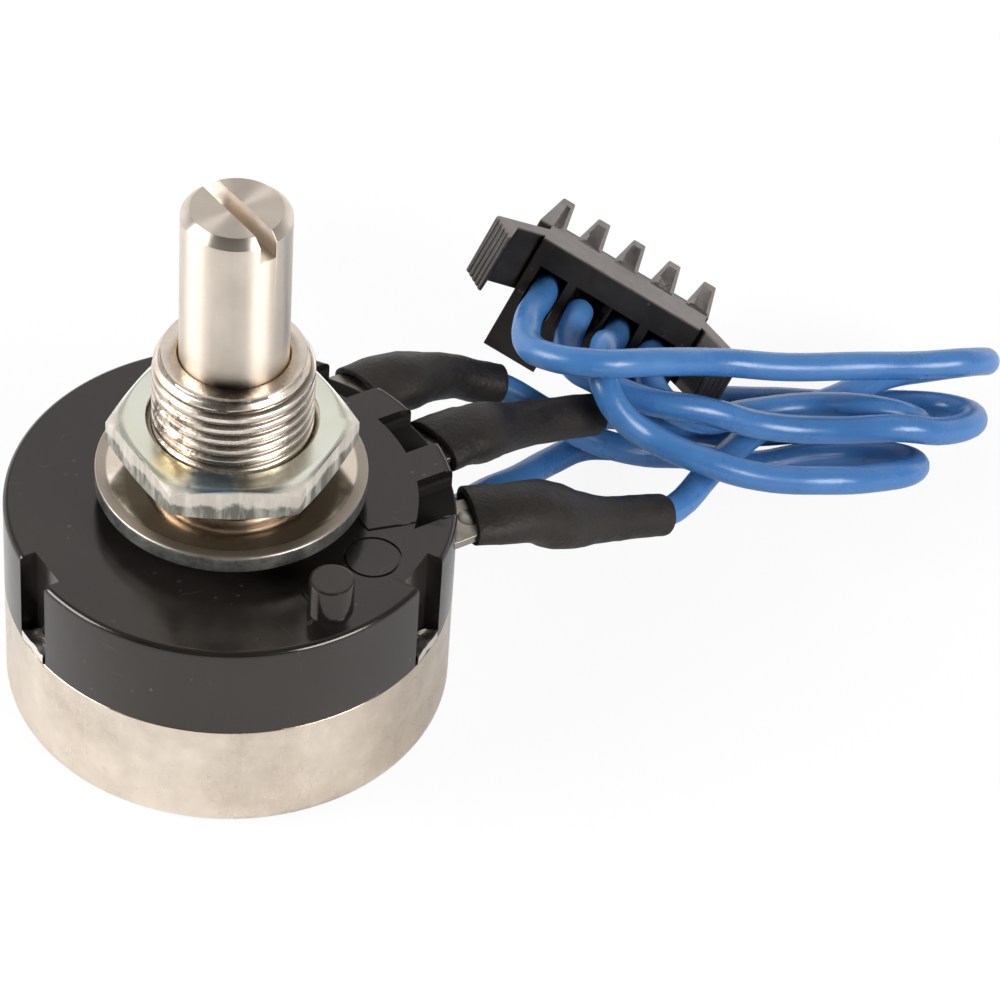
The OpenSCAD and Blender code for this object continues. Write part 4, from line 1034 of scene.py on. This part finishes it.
def smoothRows(rows, steps):
    # a smooth curve through all five numbers of the rows
    ends = [[2 * a - b for a, b in zip(rows[0], rows[1])], [2 * a - b for a, b in zip(rows[-1], rows[-2])]]
    r = [ends[0]] + rows + [ends[1]]
    result = []
    for i in range(1, len(r) - 2):
        for step in range(steps):
            t = step / steps
            result.append([(2 * b + (c - a) * t + (2 * a - 5 * b + 4 * c - d) * t * t
                            + (3 * b - a - 3 * c + d) * t ** 3) / 2
                           for a, b, c, d in zip(r[i - 1], r[i], r[i + 1], r[i + 2])])
    return result + [list(rows[-1])]


def makeSleeve(name, number):
    rows = smoothRows(sleeveRows[name], sleeveLook["steps"])
    sides, wall = sleeveLook["sides"], sleeveLook["wall"]
    mesh = bmesh.new()
    skins = []
    for inset in (0.0, 2 * wall):
        rings = []
        for i, (x, y, z, width, height) in enumerate(rows):
            place = Vector((x, y, z))
            ahead = Vector(rows[min(i + 1, len(rows) - 1)][:3])
            behind = Vector(rows[max(i - 1, 0)][:3])
            along = (ahead - behind).normalized()
            side = along.cross(Vector((0, 0, 1))).normalized()
            up = side.cross(along)
            ring = []
            for j in range(sides):
                a = 2 * math.pi * j / sides
                point = place + side * math.cos(a) * (width - inset) / 2 + up * math.sin(a) * (height - inset) / 2
                out = (point - place).normalized()
                dent = noise.noise(point * 0.75 + Vector((number * 9, 0, 0))) * sleeveLook["dent"]
                dent += noise.noise(point * 2.1 + Vector((0, number * 5, 0))) * sleeveLook["dent"] * 0.4
                ring.append(mesh.verts.new((point + out * (dent - 0.03)) * mm))
            rings.append(ring)
        skins.append(rings)
    outer, inner = skins
    for rings, flip in ((outer, False), (inner, True)):
        for a, b in zip(rings, rings[1:]):
            for j in range(sides):
                k = (j + 1) % sides
                face = (a[j], a[k], b[k], b[j])
                mesh.faces.new(face[::-1] if flip else face)
    for j in range(sides):
        k = (j + 1) % sides
        mesh.faces.new((outer[0][k], outer[0][j], inner[0][j], inner[0][k]))
        mesh.faces.new((outer[-1][j], outer[-1][k], inner[-1][k], inner[-1][j]))
    bmesh.ops.recalc_face_normals(mesh, faces=mesh.faces)
    data = bpy.data.meshes.new(name)
    mesh.to_mesh(data)
    mesh.free()
    obj = bpy.data.objects.new(name, data)
    bpy.context.scene.collection.objects.link(obj)
    softEdges(obj, 0.08 * mm, 3, 50)
    smooth(obj, 60, flat=False)
    dress(obj, finishes["sleeve"], "base", "sleeving", "sleeve_%d" % number)
    return obj


sleeves = {name: makeSleeve(name, number) for number, name in enumerate(sleeveRows, 1)}
print("sleeves made")


# Connector, contacts and terminals: the CAD pieces with their edges broken

connectorEdge = 0.09 * mm
connector = dressedCopy("connector", "connectorBody", connectorEdge, 2, 30)
dress(connector, finishes["connector"], "base", "connector_moulding", "connector")

# the comb's teeth are thick wedges on the far edge of the connector's top; millimetres in the connector's own axes
combSizes = {"first": 0.05, "teeth": 5, "root": 1.75, "tip": 0.85, "from": 2.6, "to": 8.4, "thick": 1.5,
             "edge": 0.1}


def makeComb():
    s = combSizes
    long = s["to"] - s["from"]
    for number in range(s["teeth"]):
        tooth = block("combTooth%d" % (number + 1), (1, 1, 1), (0, 0, 0))
        for vertex in tooth.data.vertices:
            side, far, high = (math.copysign(1, c) for c in vertex.co)
            width = s["tip"] if far > 0 else s["root"]
            thick = s["thick"] * (0.45 if far > 0 else 1.0)
            vertex.co = Vector((s["first"] + number * connectorPlace["pitch"] + side * width / 2,
                                s["from"] + (long if far > 0 else 0),
                                0.0 if high > 0 else -thick)) * mm
        softEdges(tooth, s["edge"] * mm, 2, 30)
        smooth(tooth)
        placeOnConnector(tooth)
        dress(tooth, finishes["connector"], "base", "connector_moulding")


def makeWebs():
    # the web that closes each wire hole round its contact
    s = connectorPlace
    for number in range(4):
        web = block("holeWeb%d" % (number + 1), s["way"], (s["firstWay"] + number * s["pitch"], s["webDepth"],
                                                          s["wayLevel"]))
        softEdges(web, 0.03 * mm, 1, 30)
        placeOnConnector(web)
        dress(web, finishes["connector"], "base", "connector_moulding")


makeComb()
makeWebs()

for number in range(1, 5):
    contact = dressedCopy("contact_%d" % number, "boxContact%d" % number, 0.03 * mm, 1, 40)
    dress(contact, finishes["contact"], "base", "contact_tin", "contact_%d" % number)

tabSolder = {"out": 0.8}
for number in range(1, 4):
    tab = dressedCopy("terminal_%d" % number, "tab%d" % number, 0.05 * mm, 2, 30)
    dress(tab, finishes["terminal"], "base", "tin_plate", "terminal_%d" % number)
    # solder fills the hole in the tab
    side = (2 - number) * housingSizes["pitch"]
    out = math.sqrt(housingSizes["radius"] ** 2 - side ** 2) + tabSolder["out"]
    plug = turned("holeSolder%d" % number, [(0.02, 11.13), (0.62, 11.13), (0.66, 11.17), (0.66, 11.65), (0.62, 11.68),
                                            (0.02, 11.70)], 40)
    plug.data.transform(Matrix.Translation((out * mm, side * mm, 0)))
    turnDegrees(plug, housingSizes["deckTurn"])
    smooth(plug, 60, flat=False)
    dress(plug, finishes["terminal"], "base", "tin_plate")

print("connector and terminals made")


# Inner pieces keep their CAD shape and get their finish

innerFinishes = {"rotor": "nylon", "wiper": "bronze", "retaining_ring": "steel", "thrust_washer": "thinZinc",
                 "resistance_card": "card", "collector_ring": "bronze", "solder_joint_1": "solder",
                 "solder_joint_2": "solder", "solder_joint_3": "solder", "solder_joint_4": "solder"}
for nodeName, finish in innerFinishes.items():
    slots = cadNodes[nodeName].data.materials
    slots.clear()
    slots.append(finishes[finish])


# Wires: the curves get their finish and hang on the base; the CAD wires are hidden

for number, (name, obj) in enumerate(wires.items(), 1):
    obj.data.materials.append(finishes["wire"])
    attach(obj, "base")
    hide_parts("wire_%d" % number)


# Floor, world and studio lights

studio = {
    "floorWhite": 0.88, "floorGlow": 0.90,
    # brightness of the surroundings: before the part, behind it high up, and the lit backdrop behind it
    "front": 0.08, "back": 0.53, "backdrop": 2.0,
    "lights": [
        # name, place, width, height, watts: each aims at the shaft
        ("keyLeft", (-0.60, -0.11, 0.30), 0.45, 0.34, 5.7),
        ("keyRight", (0.48, -0.40, 0.30), 0.36, 0.30, 5.1),
        ("topBack", (0.05, 0.45, 0.60), 0.60, 0.40, 0.45),
    ],
    "aim": (0.005, 0.004, 0.012),
}


def makeFloor():
    deselectAll()
    bpy.ops.mesh.primitive_plane_add(size=6, location=(0, 0, -0.00003))
    floor = bpy.context.object
    floor.name = "floor"
    settle(floor)
    material, tree, shader = newMaterial("floorPaper", Roughness=0.9, Specular_IOR_Level=0.1)
    white = studio["floorWhite"]
    shader.inputs["Base Color"].default_value = rgb(white, white, white)
    glow = addNode(tree, "ShaderNodeEmission", {"Color": rgb(1, 1, 1), "Strength": 1.0})
    path = addNode(tree, "ShaderNodeLightPath")
    factor = addMath(tree, "MULTIPLY", path.outputs["Is Camera Ray"], studio["floorGlow"])
    mix = addNode(tree, "ShaderNodeMixShader", {0: factor, 1: shader.outputs["BSDF"], 2: glow.outputs["Emission"]})
    tree.links.new(mix.outputs["Shader"], tree.nodes["Material Output"].inputs["Surface"])
    floor.data.materials.append(material)


def makeWorld():
    # dark towards the camera, pale above and behind, brightest low behind the part; the camera sees white
    world = bpy.data.worlds.new("studioWorld")
    world.use_nodes = True
    bpy.context.scene.world = world
    tree = world.node_tree
    parts = addNode(tree, "ShaderNodeSeparateXYZ",
                    {"Vector": addNode(tree, "ShaderNodeTexCoord").outputs["Generated"]})
    behind = addRange(tree, parts.outputs["Y"], -0.45, 0.55, studio["front"], studio["back"])
    low = addRange(tree, parts.outputs["Z"], 0.45, 0.10, 0.0, studio["backdrop"] - studio["back"])
    rear = addRange(tree, parts.outputs["Y"], 0.25, 0.7)
    level = addMath(tree, "ADD", behind, addMath(tree, "MULTIPLY", low, rear))
    path = addNode(tree, "ShaderNodeLightPath")
    strength = addMath(tree, "MAXIMUM", path.outputs["Is Camera Ray"], level)
    background = tree.nodes["Background"]
    background.inputs["Color"].default_value = rgb(1, 1, 1)
    tree.links.new(strength, background.inputs["Strength"])


def makeLights():
    for name, place, width, height, watts in studio["lights"]:
        data = bpy.data.lights.new(name, "AREA")
        data.shape = "RECTANGLE"
        data.size, data.size_y, data.energy = width, height, watts
        obj = bpy.data.objects.new(name, data)
        bpy.context.scene.collection.objects.link(obj)
        aim = Vector(studio["aim"]) - Vector(place)
        obj.matrix_world = Matrix.Translation(place) @ aim.to_track_quat("-Z", "Y").to_matrix().to_4x4()


makeFloor()
makeWorld()
makeLights()
bpy.context.scene.view_settings.view_transform = "Standard"
print("studio set")
